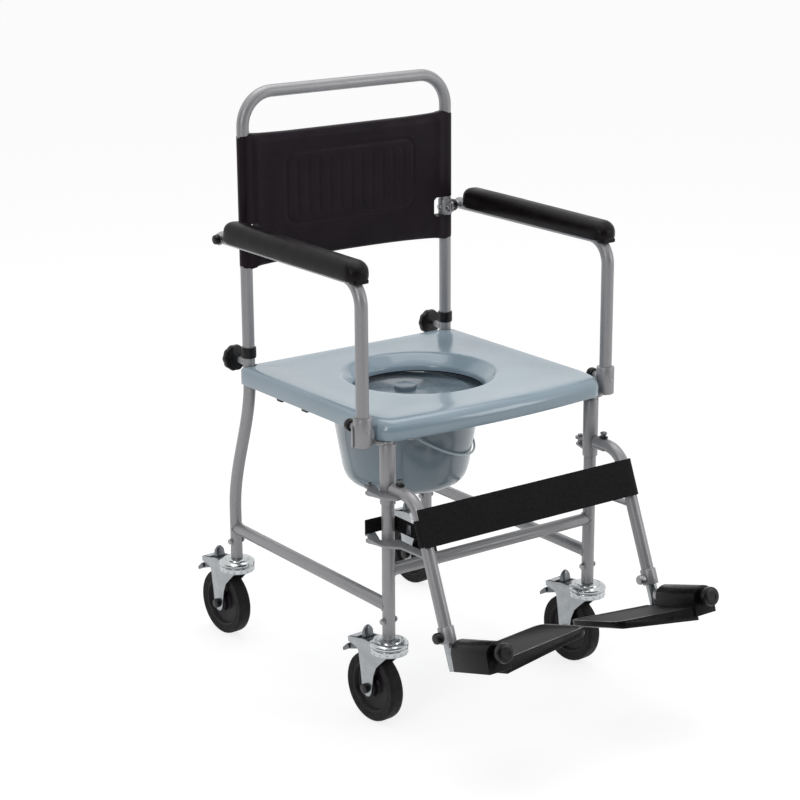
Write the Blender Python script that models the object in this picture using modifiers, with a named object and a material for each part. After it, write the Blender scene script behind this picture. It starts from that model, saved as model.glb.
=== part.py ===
"""Wheeled commode chair: tube frame on four braked castors, moulded seat over a sliding pan,
plug-in back, flip-up arms and swing-away footrests. Metres, +Z up, the front faces -Y."""

from math import atan2, cos, degrees, hypot, pi, radians, sin, tan

import bmesh
import bpy
from mathutils import Matrix, Quaternion, Vector

# Left is -X as the chair is seen from the front
SIDES = (("left", -1), ("right", 1))
GAP = 0.0003
WELD = 0.00002
BEND_STEP = 18
TUBE_SIDES = 12
BORE_SIDES = 12
DOME_SIDES = 16
PIN_SIDES = 8
THIN_R = 0.006

# Base frame
TUBE_R = 0.0111
LEG_X = 0.222
FRONT_LEG_Y = -0.131
REAR_LEG_Y = 0.363
BACK_Y = 0.300
LEG_FOOT_Z = 0.162
FRONT_LEG_TOP_Z = 0.5165
REAR_LEG_TOP_Z = 0.565
REAR_BEND_Z = (0.26, 0.525)
REAR_BEND_STEPS = 8
SLEEVE_R = 0.0135
SLEEVE_Z = (0.405, 0.498)
SIDE_RAIL_Z = 0.221
FRONT_CROSS_Z = 0.285
FRONT_CROSS_Y = -0.130
SEAT_FRAME_Z = 0.5335
SEAT_FRONT_Y = -0.121
SEAT_REAR_Y = 0.262
CASTOR_BOLT_Z = 0.195
CASTOR_BOLT_REACH = 0.0165
CASTOR_BOLT_HEAD = (0.0060, 0.0045)

# Runners under the seat that carry the pan
RUNNER_X = 0.1555
RUNNER_REACH = 0.0135
RUNNER_WALL = 0.002
RUNNER_Z = (0.4965, 0.5219)
RUNNER_Y = (-0.131, 0.274)
RUNNER_NOTCH = (-0.105, 0.5075)

# Armrest sockets on the front legs, with their spring plungers
ARM_X = 0.264
ARM_POST_Y = -0.120
SOCKET_R = (0.0166, 0.0190)
SOCKET_Z = (0.5100, 0.546)
SOCKET_PLATE_Z = (0.5118, 0.5163)
PLUNGER_Z = 0.539
PLUNGER_PIN_R = 0.0026
PLUNGER_KNOB_Y = (-0.0905, -0.0785)

# Back frame, its collars and clamp screws
BACK_TOP_Z = 1.042
BACK_BEND_R = 0.060
SPIGOT_R = 0.0093
SPIGOT_Z = 0.5095
COLLAR_R = 0.0138
COLLAR_Z = (0.5653, 0.5683, 0.585)
CLAMP_Z = 0.5545
CLAMP_BOSS_R = 0.0068
CLAMP_SHANK_R = 0.004
CLAMP_KNOB_R = 0.0245
CLAMP_KNOB_FLUTES = 10
CLAMP_KNOB_FLUTE_DEPTH = 0.0012
CLAMP_KNOB_Y = (0.343, 0.356)

# Vinyl back
VINYL_Z = (0.7275, 0.973)
VINYL_R = 0.0137
VINYL_MID = 0.0095
VINYL_BOW = 0.006
CHANNELS = 12
CHANNEL_PANEL_X = 0.140
CHANNEL_PANEL_Z = (0.800, 0.930)
CHANNEL_DEPTH = 0.0014
WINDOW_X = 0.199
WINDOW_Z = (0.775, 0.811)

# Armrests
ARM_Z = 0.790
ARM_BEND_R = 0.045
ARM_END_Y = 0.311
ARM_FOOT_Z = 0.511
FERRULE_R = 0.016
FERRULE_Z = (0.5105, 0.560)
FERRULE_RIVET_Z = 0.5365
ARM_STRAP_HALF = 0.0145
ARM_PIN_R = 0.004
ARM_CAP_X = (0.2762, 0.2885)
PAD_Z = (0.793, 0.818)
PAD_Y = (-0.126, 0.285)
PAD_HALF_WIDTH = 0.0235

# Seat shell
SEAT_HALF_WIDTH = 0.240
SEAT_TOP_Z = 0.551
SEAT_UNDER_Z = 0.5455
SEAT_SKIRT_Z = 0.518
SEAT_REAR_EDGE_Y = 0.308
SEAT_CORNER_Y = -0.152
SEAT_FRONT_Y_MID = -0.165
SEAT_CORNER_R = 0.035
SEAT_EDGE_R = 0.011
SEAT_ROLL_R = 0.0195
SEAT_ROLL_Y = (-0.085, -0.135)
SEAT_WALL = 0.005
HOLE_Y = 0.083
NOTCH_R = 0.0145
FUNNEL_STEPS = 32

# Pan, lid and bail
PAN_Y = 0.125
PAN_TURN = radians(44)
PAN_PIVOT_Z = 0.489
PAN_STEPS = 28
BAIL_WIRE_R = 0.002
BAIL_HALF_WIDTH = 0.142
BAIL_REACH = 0.155
BAIL_HANG = radians(36)

# Footrest hangers
HANGER_PIN = (0.232, -0.093)
HANGER_PIN_R = 0.003
HANGER_TOP_Z = 0.434
HANGER_START_Y = -0.1475
HANGER_CORNER_Y = -0.211
HANGER_BEND_R = 0.050
HANGER_SLOPE = 0.4008
HANGER_FOOT_Z = 0.2105
HANGER_COLLAR_TOP_Z = 0.234
HANGER_COLLAR_R = 0.0138
PLATE_THICK = 0.004
UPPER_PLATE_Z = 0.427
LOWER_PLATE_Z = 0.342
LUG_DROP = 0.014
LATCH_Y = -0.167
LATCH_TRAVEL = 0.010
LATCH_PIN_R = 0.0035
LATCH_STEM_R = 0.003

# Footplates and their stems
STEM_R = 0.0095
STEM_FOOT_Z = 0.168
STEM_LENGTH = 0.165
STEM_SETTING = {"left": 0.0, "right": 0.008}
STEM_BORE_Z = 0.352
LOCK_Z = 0.2215
LOCK_SHANK_R = 0.0025
PLATE_AXIS_START = (-0.334, 0.209)
PLATE_AXIS_RISE = radians(16.4)
BAR_R = 0.007
BAR_STUD_R = 0.003
BLOCK_LENGTH = 0.099
BLOCK_HALF_WIDTH = 0.0225
PLATE_IN = 0.193
PLATE_S = (-0.0343, 0.0945)
PLATE_TILT = radians(4.4)
DECK_CORNER_R = 0.020

# Calf strap
STRAP_Z = (0.358, 0.418)
STRAP_WRAP_Z = (0.360, 0.402)
STRAP_HALF_WIDTH = 0.2355
STRAP_OFFSET = 0.0142
STRAP_THICK = 0.0024
TAIL_Z = (0.3525, 0.3775)

# Castors
CASTOR_TURN = radians(4)
CASTOR_TRAIL = 0.039
WHEEL_R = 0.0625
WHEEL_HALF = 0.014
WHEEL_STEPS = 24
AXLE_R = 0.004
FORK_HALF = 0.018
FORK_GAP_HALF = 0.0155
FORK_TOP_Z = 0.1498
HOUSING_UNDER_Z = 0.1395
PEDAL_SLOT = (0.0125, 0.0470, 0.0740)
SWIVEL_R = 0.033
BRAKE_AXIS = (0.056, 0.1336)
BRAKE_PIN_R = 0.0022

# Which way a flat outline faces: lying, seen from the side, seen from the front
LYING = Matrix.Identity(4)
SIDE_VIEW = Matrix(((0, 0, 1, 0), (1, 0, 0, 0), (0, 1, 0, 0), (0, 0, 0, 1)))
FRONT_VIEW = Matrix(((1, 0, 0, 0), (0, 0, -1, 0), (0, 1, 0, 0), (0, 0, 0, 1)))

# Colour, roughness and metallic value of each finish
FINISHES = {
    "painted tube": ((0.30, 0.30, 0.32), 0.35, 0.6),
    "zinc": ((0.62, 0.64, 0.66), 0.30, 1.0),
    "black plastic": ((0.02, 0.02, 0.022), 0.45, 0.0),
    "vinyl": ((0.018, 0.015, 0.020), 0.55, 0.0),
    "seat plastic": ((0.33, 0.41, 0.47), 0.22, 0.0),
    "pan plastic": ((0.22, 0.29, 0.35), 0.30, 0.0),
    "pale wire": ((0.55, 0.66, 0.72), 0.35, 0.0),
    "webbing": ((0.02, 0.02, 0.02), 0.80, 0.0),
    "tyre": ((0.025, 0.025, 0.027), 0.60, 0.0),
}

for left_over in list(bpy.data.objects):
    bpy.data.objects.remove(left_over, do_unlink=True)
parts = bpy.data.collections.new("wheeled_commode_chair")
tools = bpy.data.collections.new("cutters and joined pieces")
bpy.context.scene.collection.children.link(parts)
bpy.context.scene.collection.children.link(tools)


def finish(part, kind):
    """Weld the seams that the Booleans leave, and give the part a material of its own."""
    if any(step.type == "BOOLEAN" for step in part.modifiers):
        seams = part.modifiers.new("seams", "WELD")
        seams.merge_threshold = WELD
    colour, roughness, metallic = FINISHES[kind]
    material = bpy.data.materials.new(part.name)
    material.use_nodes = True
    shader = material.node_tree.nodes["Principled BSDF"]
    shader.inputs["Base Color"].default_value = (*colour, 1)
    shader.inputs["Roughness"].default_value = roughness
    shader.inputs["Metallic"].default_value = metallic
    part.data.materials.clear()
    part.data.materials.append(material)
    return part


def new_part(name, mesh, place=LYING):
    """An object in world coordinates; a mirrored placement keeps its faces pointing out."""
    mesh.transform(place)
    if place.determinant() < 0:
        mesh.flip_normals()
    mesh.shade_smooth()
    mesh.set_sharp_from_angle(angle=radians(35))
    part = bpy.data.objects.new(name, mesh)
    parts.objects.link(part)
    return part


def from_bmesh(name, shape, place=LYING):
    mesh = bpy.data.meshes.new(name)
    shape.to_mesh(mesh)
    shape.free()
    return new_part(name, mesh, place)


def from_curve(name, curve, place=LYING):
    """A curve's shape as a mesh, with its loose caps welded and its flat faces whole."""
    holder = bpy.data.objects.new(name, curve)
    bpy.context.scene.collection.objects.link(holder)
    bpy.context.view_layer.update()
    depsgraph = bpy.context.evaluated_depsgraph_get()
    mesh = bpy.data.meshes.new_from_object(holder.evaluated_get(depsgraph))
    bpy.data.objects.remove(holder)
    bpy.data.curves.remove(curve)
    shape = bmesh.new()
    shape.from_mesh(mesh)
    bmesh.ops.remove_doubles(shape, verts=shape.verts, dist=WELD)
    bmesh.ops.dissolve_limit(
        shape, angle_limit=radians(0.5), verts=shape.verts, edges=shape.edges
    )
    bmesh.ops.recalc_face_normals(shape, faces=shape.faces)
    shape.to_mesh(mesh)
    shape.free()
    return new_part(name, mesh, place)


def tube(name, points, radius, sides=TUBE_SIDES):
    """A round bar along a run of points."""
    curve = bpy.data.curves.new(name, "CURVE")
    curve.dimensions = "3D"
    curve.bevel_depth = radius
    curve.bevel_resolution = sides // 2 - 2
    curve.use_fill_caps = True
    spline = curve.splines.new("POLY")
    spline.points.add(len(points) - 1)
    for knot, point in zip(spline.points, points):
        knot.co = (*point, 1)
    return from_curve(name, curve)


def plate(name, outline, thick, view=LYING, centre=(0, 0, 0)):
    """A flat outline given a thickness, half of it on each side of its plane."""
    curve = bpy.data.curves.new(name, "CURVE")
    curve.dimensions = "2D"
    curve.fill_mode = "BOTH"
    curve.extrude = thick / 2
    spline = curve.splines.new("POLY")
    spline.points.add(len(outline) - 1)
    for knot, point in zip(spline.points, outline):
        knot.co = (*point, 0, 1)
    spline.use_cyclic_u = True
    return from_curve(name, curve, Matrix.Translation(centre) @ view)


def slab(name, outline, low, high):
    """A lying outline between two heights."""
    return plate(name, outline, high - low, LYING, (0, 0, (low + high) / 2))


def rod(name, start, end, radius, end_radius=None, sides=TUBE_SIDES, flat_up=False):
    """A round bar between two points, with an edge or a flat of its facets on top."""
    start, end = Vector(start), Vector(end)
    along = end - start
    shape = bmesh.new()
    bmesh.ops.create_cone(
        shape,
        cap_ends=True,
        segments=sides,
        radius1=radius,
        radius2=radius if end_radius is None else end_radius,
        depth=along.length,
    )
    turn = along.to_track_quat("Z", "Y").to_matrix().to_4x4()
    if flat_up:
        turn = turn @ Matrix.Rotation(pi / sides, 4, "Z")
    return from_bmesh(name, shape, Matrix.Translation((start + end) / 2) @ turn)


def box(name, low, high):
    """A block between two opposite corners."""
    low, high = Vector(map(min, low, high)), Vector(map(max, low, high))
    shape = bmesh.new()
    bmesh.ops.create_cube(shape, size=1)
    size = Matrix.Diagonal((*(high - low), 1))
    return from_bmesh(name, shape, Matrix.Translation((low + high) / 2) @ size)


def turned(name, profile, place, steps=BORE_SIDES, closed=False):
    """A profile of (radius, height) points spun about its upright axis, then placed."""
    mesh = bpy.data.meshes.new(name)
    ends = list(range(1, len(profile)))
    edges = [(k - 1, k) for k in ends]
    if closed:
        edges.append((len(profile) - 1, 0))
    mesh.from_pydata([(r, 0, z) for r, z in profile], edges, [])
    part = bpy.data.objects.new(name, mesh)
    parts.objects.link(part)
    part.matrix_basis = place
    screw = part.modifiers.new("turned", "SCREW")
    screw.steps = steps
    screw.render_steps = steps
    screw.use_merge_vertices = True
    screw.merge_threshold = WELD
    screw.use_smooth_shade = True
    return part


def put_away(piece):
    """A cutter or a joined piece goes to its own collection and is not drawn."""
    for holder in piece.users_collection:
        holder.objects.unlink(piece)
    tools.objects.link(piece)
    piece.hide_render = True
    piece.display_type = "WIRE"


def combine(part, piece, operation):
    step = part.modifiers.new(operation.lower(), "BOOLEAN")
    step.operation = operation
    step.solver = "EXACT"
    step.object = piece
    put_away(piece)


def join(part, *pieces):
    for piece in pieces:
        combine(part, piece, "UNION")
    return part


def cut(part, *pieces):
    for piece in pieces:
        combine(part, piece, "DIFFERENCE")
    return part


def clear_radius(shaft_radius, sides=BORE_SIDES):
    """The radius of a faceted bore whose flats clear a shaft by the gap."""
    return (shaft_radius + GAP) / cos(pi / sides)


def bore(part, start, end, shaft_radius):
    """A hole for a round shaft; a thin one has fewer sides."""
    sides = PIN_SIDES if shaft_radius < THIN_R else BORE_SIDES
    return cut(part, rod(part.name + " bore", start, end, clear_radius(shaft_radius, sides), sides=sides))


def place_with_operands(part, place):
    """Move a part and the pieces that its Booleans use; a mirrored move turns the faces out again."""
    part.data.transform(place)
    if place.determinant() < 0:
        part.data.flip_normals()
    for step in part.modifiers:
        if step.type == "BOOLEAN":
            place_with_operands(step.object, place)


def pivot_at(part, point):
    """Put the part's origin on its joint's axis; its shape stays where it is."""
    part.data.transform(Matrix.Translation(-Vector(point)))
    part.location = point
    return part


def carry(holder, *riders):
    """Riders follow the holder when it moves."""
    bpy.context.view_layer.update()
    for rider in riders:
        rider.parent = holder
        rider.matrix_parent_inverse = holder.matrix_world.inverted()


def arc(centre, radius, start, end, steps):
    """Points of an arc between two angles in degrees."""
    angles = [radians(start + (end - start) * k / steps) for k in range(steps + 1)]
    return [(centre[0] + radius * cos(a), centre[1] + radius * sin(a)) for a in angles]


def link_outline(first, first_r, second, second_r, steps=5):
    """Two round ends joined by their outer tangents."""
    away = Vector(second) - Vector(first)
    heading = degrees(atan2(away.y, away.x))
    lean = degrees(atan2(first_r - second_r, (away.length**2 - (first_r - second_r) ** 2) ** 0.5))
    side = 90 - lean
    near = arc(first, first_r, heading + side, heading + 360 - side, steps)
    far = arc(second, second_r, heading - side, heading + side, steps)
    return near + far


def rounded(corners, radius, step=BEND_STEP):
    """Straight runs through the corners, each inner corner bent to the radius."""
    points = [Vector(corners[0])]
    for before, corner, after in zip(corners, corners[1:], corners[2:]):
        corner = Vector(corner)
        back = (Vector(before) - corner).normalized()
        ahead = (Vector(after) - corner).normalized()
        bend = pi - back.angle(ahead)
        setback = radius * tan(bend / 2)
        centre = corner + (back + ahead).normalized() * radius / cos(bend / 2)
        spoke = corner + back * setback - centre
        axis = back.cross(ahead)
        steps = max(2, round(degrees(bend) / step))
        for k in range(steps + 1):
            points.append(centre + Quaternion(axis, -bend * k / steps) @ spoke)
    points.append(Vector(corners[-1]))
    return points


def ease(t):
    t = min(max(t, 0), 1)
    return t * t * (3 - 2 * t)


def bolt(name, centre, half_length, shank_r, head_r, head_thick):
    """A cross bolt along X with a head at both ends."""
    x, y, z = centre
    shank = rod(name, (x - half_length, y, z), (x + half_length, y, z), shank_r, sides=PIN_SIDES)
    for end in (-1, 1):
        face = x + end * half_length
        head_ends = [(face - end * head_thick, y, z), (face, y, z)]
        join(shank, rod(name + " head", *head_ends, head_r, sides=PIN_SIDES))
    return shank


def castor_fixing(leg, x, y):
    """The socket for the castor's stem at the leg's foot, and the bolt above it."""
    centre = (x, y, CASTOR_BOLT_Z)
    join(leg, bolt(leg.name + " bolt", centre, CASTOR_BOLT_REACH, 0.0025, *CASTOR_BOLT_HEAD))
    bore(leg, (x, y, LEG_FOOT_Z - 0.01), (x, y, LEG_FOOT_Z + 0.0265), 0.0085)


def hanger_pin(name, s, plate_z):
    """A lug on the front leg with the upright pin that a hanger plate turns on."""
    lug_z = plate_z - LUG_DROP
    pin_x, pin_y = s * HANGER_PIN[0], HANGER_PIN[1]
    outline = link_outline((s * LEG_X, FRONT_LEG_Y), 0.009, (pin_x, pin_y), 0.008)
    lug = slab(name, outline, lug_z, lug_z + PLATE_THICK)
    plate_low = plate_z - PLATE_THICK / 2
    plate_high = plate_z + PLATE_THICK / 2
    nut_z = plate_high + 2 * GAP

    def upright(part_name, low, high, radius, sides):
        return rod(part_name, (pin_x, pin_y, low), (pin_x, pin_y, high), radius, sides=sides)

    spacer = upright(name + " spacer", lug_z + 0.002, plate_low - GAP, 0.0055, PIN_SIDES)
    pin = upright(name + " pin", lug_z - 0.003, plate_high + 0.006, HANGER_PIN_R, PIN_SIDES)
    nut = upright(name + " nut", nut_z, nut_z + 0.0045, 0.0055, 6)
    return join(lug, spacer, pin, nut)


def front_leg(side, s):
    x = s * LEG_X
    leg_ends = [(x, FRONT_LEG_Y, z) for z in (LEG_FOOT_Z, FRONT_LEG_TOP_Z)]
    leg = rod("front_leg_" + side, *leg_ends, TUBE_R)
    sleeve = rod("sleeve", *[(x, FRONT_LEG_Y, z) for z in SLEEVE_Z], SLEEVE_R)
    step_z = FRONT_LEG_TOP_Z - 0.0005
    saddle_top = SEAT_FRAME_Z - TUBE_R - 2 * GAP
    saddle_side = [
        (-0.131, 0.510),
        (-0.111, 0.510),
        (-0.111, saddle_top),
        (-0.1202, saddle_top),
        (-0.1202, step_z),
        (-0.131, step_z),
    ]
    saddle = plate("saddle", saddle_side, 0.018, SIDE_VIEW, (s * 0.215, 0, 0))
    join(leg, sleeve, saddle)
    join(leg, hanger_pin("upper lug", s, UPPER_PLATE_Z), hanger_pin("lower lug", s, LOWER_PLATE_Z))
    castor_fixing(leg, x, FRONT_LEG_Y)
    return finish(leg, "painted tube")


def rear_leg(side, s):
    """The rear leg sweeps forward on its way up to stand under the back frame's tube."""
    x = s * LEG_X
    low, high = REAR_BEND_Z
    points = [(x, REAR_LEG_Y, LEG_FOOT_Z)]
    for k in range(REAR_BEND_STEPS + 1):
        share = k / REAR_BEND_STEPS
        y = REAR_LEG_Y + (BACK_Y - REAR_LEG_Y) * ease(share)
        points.append((x, y, low + (high - low) * share))
    points.append((x, BACK_Y, REAR_LEG_TOP_Z))
    leg = tube("rear_leg_" + side, points, TUBE_R)
    boss_ends = [(x, BACK_Y + y, CLAMP_Z) for y in (0.0104, 0.029)]
    boss = rod("boss", *boss_ends, CLAMP_BOSS_R, sides=PIN_SIDES, flat_up=True)
    join(leg, boss)
    bore(leg, (x, BACK_Y, SPIGOT_Z - 0.0015), (x, BACK_Y, REAR_LEG_TOP_Z + 0.01), SPIGOT_R)
    bore(leg, (x, BACK_Y + 0.008, CLAMP_Z), (x, BACK_Y + 0.035, CLAMP_Z), CLAMP_SHANK_R)
    castor_fixing(leg, x, REAR_LEG_Y)
    return finish(leg, "painted tube")


def notch_for_leg(part, x, y, z):
    """A fish-mouth end: the tube is cut away round the leg that it is welded to."""
    return bore(part, (x, y, z - 0.03), (x, y, z + 0.03), TUBE_R)


def side_rail(side, s):
    x = s * LEG_X
    rail = rod("side_rail_" + side, (x, FRONT_LEG_Y, SIDE_RAIL_Z), (x, REAR_LEG_Y, SIDE_RAIL_Z), TUBE_R)
    notch_for_leg(rail, x, FRONT_LEG_Y, SIDE_RAIL_Z)
    notch_for_leg(rail, x, REAR_LEG_Y, SIDE_RAIL_Z)
    return finish(rail, "painted tube")


def front_cross_tube():
    ends = [(s * LEG_X, FRONT_CROSS_Y, FRONT_CROSS_Z) for s in (-1, 1)]
    cross = rod("front_cross_tube", *ends, TUBE_R - GAP)
    for s in (-1, 1):
        notch_for_leg(cross, s * LEG_X, FRONT_LEG_Y, FRONT_CROSS_Z)
    return finish(cross, "painted tube")


def seat_frame():
    """A tube bent round three sides of the seat, with a cross tube near its open end."""
    corners = [
        (-LEG_X, BACK_Y, SEAT_FRAME_Z),
        (-LEG_X, SEAT_FRONT_Y, SEAT_FRAME_Z),
        (LEG_X, SEAT_FRONT_Y, SEAT_FRAME_Z),
        (LEG_X, BACK_Y, SEAT_FRAME_Z),
    ]
    frame = tube("seat_frame", rounded(corners, 0.036), TUBE_R)
    ends = [(s * LEG_X, SEAT_REAR_Y, SEAT_FRAME_Z) for s in (-1, 1)]
    join(frame, rod("rear cross tube", *ends, TUBE_R - 2 * GAP))
    for s in (-1, 1):
        notch_for_leg(frame, s * LEG_X, BACK_Y, SEAT_FRAME_Z)
    return finish(frame, "painted tube")


def pan_rail(side, s):
    """An angle runner: its web hangs from the cross tubes, its flange carries the pan's rim."""
    low, high = RUNNER_Z
    outer, inner = RUNNER_X, RUNNER_X - RUNNER_REACH
    section = [
        (s * outer, low),
        (s * inner, low),
        (s * inner, low + RUNNER_WALL),
        (s * (outer - RUNNER_WALL), low + RUNNER_WALL),
        (s * (outer - RUNNER_WALL), high),
        (s * outer, high),
    ]
    front, rear = RUNNER_Y
    middle = (0, (front + rear) / 2, 0)
    rail = plate("pan_rail_" + side, section, rear - front, FRONT_VIEW, middle)
    notch_y, notch_z = RUNNER_NOTCH
    notch_ends = [(s * (inner - 0.01), front - 0.01, low - 0.01), (s * (outer + 0.01), notch_y, notch_z)]
    cut(rail, box("front notch", *notch_ends))
    return finish(rail, "painted tube")


def arm_socket(side, s):
    """A half ring behind the armrest's foot, open to the front so that the foot can swing out."""
    x = s * ARM_X
    centre = (x, ARM_POST_Y)
    inner_r, outer_r = SOCKET_R
    ring = arc(centre, inner_r, 172, 8, 8) + arc(centre, outer_r, 8, 172, 8)
    socket = slab("arm_socket_" + side, ring, *SOCKET_Z)
    near_leg = (s * (LEG_X + 0.012), FRONT_LEG_Y + 0.002)
    bracket_outline = link_outline(near_leg, 0.0105, (x, ARM_POST_Y + 0.006), 0.0120)
    bracket = slab("bracket", bracket_outline, *SOCKET_PLATE_Z)
    room_r = inner_r + 0.0012
    room = [(x - room_r, ARM_POST_Y - 0.03)]
    room += arc(centre, room_r, 180, 0, 8)
    room += [(x + room_r, ARM_POST_Y - 0.03)]
    cut(bracket, slab("foot room", room, *SOCKET_Z))
    notch_for_leg(bracket, s * LEG_X, FRONT_LEG_Y, SOCKET_PLATE_Z[0])
    rear = ARM_POST_Y + inner_r
    housing_ends = [(x, rear + 0.001, PLUNGER_Z), (x, rear + 0.0125, PLUNGER_Z)]
    join(socket, bracket, rod("housing", *housing_ends, 0.0065, sides=PIN_SIDES))
    bore(socket, (x, rear - 0.004, PLUNGER_Z), (x, rear + 0.02, PLUNGER_Z), PLUNGER_PIN_R)
    return finish(socket, "painted tube")


def back_collar(side, s):
    """A black guide ring that stands on the leg's rim and holds the back tube's foot."""
    low, ledge, high = COLLAR_Z
    lip_r = clear_radius(SPIGOT_R)
    wall_r = clear_radius(TUBE_R)
    profile = [(COLLAR_R, high), (COLLAR_R, low), (lip_r, low)]
    profile += [(lip_r, ledge), (wall_r, ledge), (wall_r, high)]
    place = Matrix.Translation((s * LEG_X, BACK_Y, 0))
    return finish(turned("back_collar_" + side, profile, place, closed=True), "black plastic")


def round_knob(name, outline_r, low, high, flutes=0, depth=0.0, points=24):
    """A grip outline, plain or fluted, between two heights on its own axis."""
    outline = []
    for k in range(points):
        a = 2 * pi * k / points
        r = outline_r - depth / 2 * (1 - cos(flutes * a))
        outline.append((r * cos(a), r * sin(a)))
    return slab(name, outline, low, high)


def turn_to(part, place):
    """Move a part that was made on the upright axis to its own place."""
    part.data.transform(place)
    return part


def along_y(x, y, z):
    """A placement that lays an upright part down, its top towards +Y."""
    return Matrix.Translation((x, y, z)) @ Matrix.Rotation(-pi / 2, 4, "X")


def back_clamp_knob(side, s):
    x = s * LEG_X
    count = CLAMP_KNOB_FLUTES
    flutes = {"flutes": count, "depth": CLAMP_KNOB_FLUTE_DEPTH, "points": 4 * count}
    knob = round_knob("back_clamp_knob_" + side, CLAMP_KNOB_R, *CLAMP_KNOB_Y, **flutes)
    turn_to(knob, along_y(x, 0, CLAMP_Z))
    shank_ends = [(x, BACK_Y + 0.0108, CLAMP_Z), (x, CLAMP_KNOB_Y[0] + 0.003, CLAMP_Z)]
    join(knob, rod("shank", *shank_ends, CLAMP_SHANK_R, sides=PIN_SIDES))
    return finish(pivot_at(knob, (x, CLAMP_KNOB_Y[0], CLAMP_Z)), "black plastic")


def back_frame_tube():
    foot = COLLAR_Z[1] + GAP
    corners = [
        (-LEG_X, BACK_Y, foot),
        (-LEG_X, BACK_Y, BACK_TOP_Z),
        (LEG_X, BACK_Y, BACK_TOP_Z),
        (LEG_X, BACK_Y, foot),
    ]
    frame = tube("back_frame_tube", rounded(corners, BACK_BEND_R), TUBE_R)
    for s in (-1, 1):
        spigot_ends = [(s * LEG_X, BACK_Y, z) for z in (SPIGOT_Z, foot + 0.01)]
        join(frame, rod("spigot", *spigot_ends, SPIGOT_R))
    return finish(pivot_at(frame, (0, BACK_Y, REAR_LEG_TOP_Z)), "painted tube")


def vinyl_depth(x, z):
    """How far the front skin stands before the tubes' plane: drawn in between them, with
    welded upright channels inside the middle panel."""
    drawn = VINYL_MID + (VINYL_R - VINYL_MID) * ease((abs(x) - 0.19) / (LEG_X - 0.19))
    low, high = CHANNEL_PANEL_Z
    inside = ease((z - low) / 0.012) * ease((high - z) / 0.012)
    if abs(x) > CHANNEL_PANEL_X:
        return drawn
    pitch = 2 * CHANNEL_PANEL_X / CHANNELS
    return drawn - CHANNEL_DEPTH * inside * cos(pi * (x + CHANNEL_PANEL_X) / pitch) ** 2


def vinyl_section(level):
    """One level of the sleeve: front skin, round end, rear skin, round end."""
    x_steps = [-LEG_X, -0.205, -0.19, -0.165]
    x_steps += [CHANNEL_PANEL_X * (k / CHANNELS - 1) for k in range(2 * CHANNELS + 1)]
    x_steps += [0.165, 0.19, 0.205, LEG_X]
    low, high = VINYL_Z
    share = (high - level) / (high - low)
    points = []
    for x in x_steps:
        points.append((x, BACK_Y - vinyl_depth(x, level)))
    points += arc((LEG_X, BACK_Y), VINYL_R, -60, 60, 4)
    rear_x = [LEG_X, 0.205, 0.19, 0.1, 0, -0.1, -0.19, -0.205, -LEG_X]
    for x in rear_x:
        points.append((x, BACK_Y + vinyl_depth(x, low)))
    points += arc((-LEG_X, BACK_Y), VINYL_R, 120, 240, 4)
    raised = []
    for x, y in points:
        bow = VINYL_BOW * share**4 * max(0, 1 - (x / LEG_X) ** 2)
        raised.append((x, y, level + bow))
    return raised


def back_upholstery():
    """A vinyl sleeve over both back tubes, with a window at each arm bracket."""
    low, high = VINYL_Z
    panel_low, panel_high = CHANNEL_PANEL_Z
    levels = [low, low + 0.03, panel_low, panel_low + 0.012, panel_high - 0.012, panel_high, high]
    shape = bmesh.new()
    rings = [[shape.verts.new(point) for point in vinyl_section(level)] for level in levels]
    for below, above in zip(rings, rings[1:]):
        for k in range(len(below)):
            shape.faces.new((below[k - 1], below[k], above[k], above[k - 1]))
    ends = [shape.faces.new(reversed(rings[0])), shape.faces.new(rings[-1])]
    bmesh.ops.triangulate(shape, faces=ends)
    sleeve = from_bmesh("back_upholstery", shape)
    for s in (-1, 1):
        bore(sleeve, (s * LEG_X, BACK_Y, low - 0.02), (s * LEG_X, BACK_Y, high + 0.02), TUBE_R)
        inner, outer = s * WINDOW_X, s * (WINDOW_X + 0.04)
        corner = 0.005
        window = [(outer, WINDOW_Z[0]), (inner + s * corner, WINDOW_Z[0]), (inner, WINDOW_Z[0] + corner)]
        window += [(inner, WINDOW_Z[1] - corner), (inner + s * corner, WINDOW_Z[1]), (outer, WINDOW_Z[1])]
        cut(sleeve, plate("window", window, 0.06, FRONT_VIEW, (0, BACK_Y, 0)))
    return finish(sleeve, "vinyl")


def arm_bracket(side, s):
    """A strap round the back tube with the pin, bush and cap that hold an armrest."""
    x = s * LEG_X
    strap_r = TUBE_R + 0.0022
    strap_ends = [(x, BACK_Y, ARM_Z + end * ARM_STRAP_HALF) for end in (-1, 1)]
    strap = rod("arm_bracket_" + side, *strap_ends, strap_r, sides=BORE_SIDES)
    front = BACK_Y - TUBE_R
    ear_low = (x - 0.0042, front - 0.0105, ARM_Z - 0.008)
    ear = box("ear", ear_low, (x + 0.0042, front + 0.003, ARM_Z + 0.008))
    bolt_ends = [(x + end * 0.0085, front - 0.006, ARM_Z) for end in (-1, 1)]
    ear_bolt = rod("ear bolt", *bolt_ends, 0.004, sides=PIN_SIDES)
    bush_ends = [(end_x, BACK_Y, ARM_Z) for end_x in (x + s * 0.011, s * (ARM_X - TUBE_R - 2 * GAP))]
    bush = rod("bush", *bush_ends, 0.0085)
    pin = rod("pin", (x + s * 0.012, BACK_Y, ARM_Z), (s * (ARM_CAP_X[1] - 0.004), BACK_Y, ARM_Z), ARM_PIN_R)
    cap_in, cap_out = ARM_CAP_X
    cap = rod("cap", (s * cap_in, BACK_Y, ARM_Z), (s * cap_out, BACK_Y, ARM_Z), 0.0115, 0.0075)
    join(strap, ear, ear_bolt, bush, pin, cap)
    bore(strap, (x, BACK_Y, ARM_Z - 0.02), (x, BACK_Y, ARM_Z + 0.02), TUBE_R)
    return finish(strap, "zinc")


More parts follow.
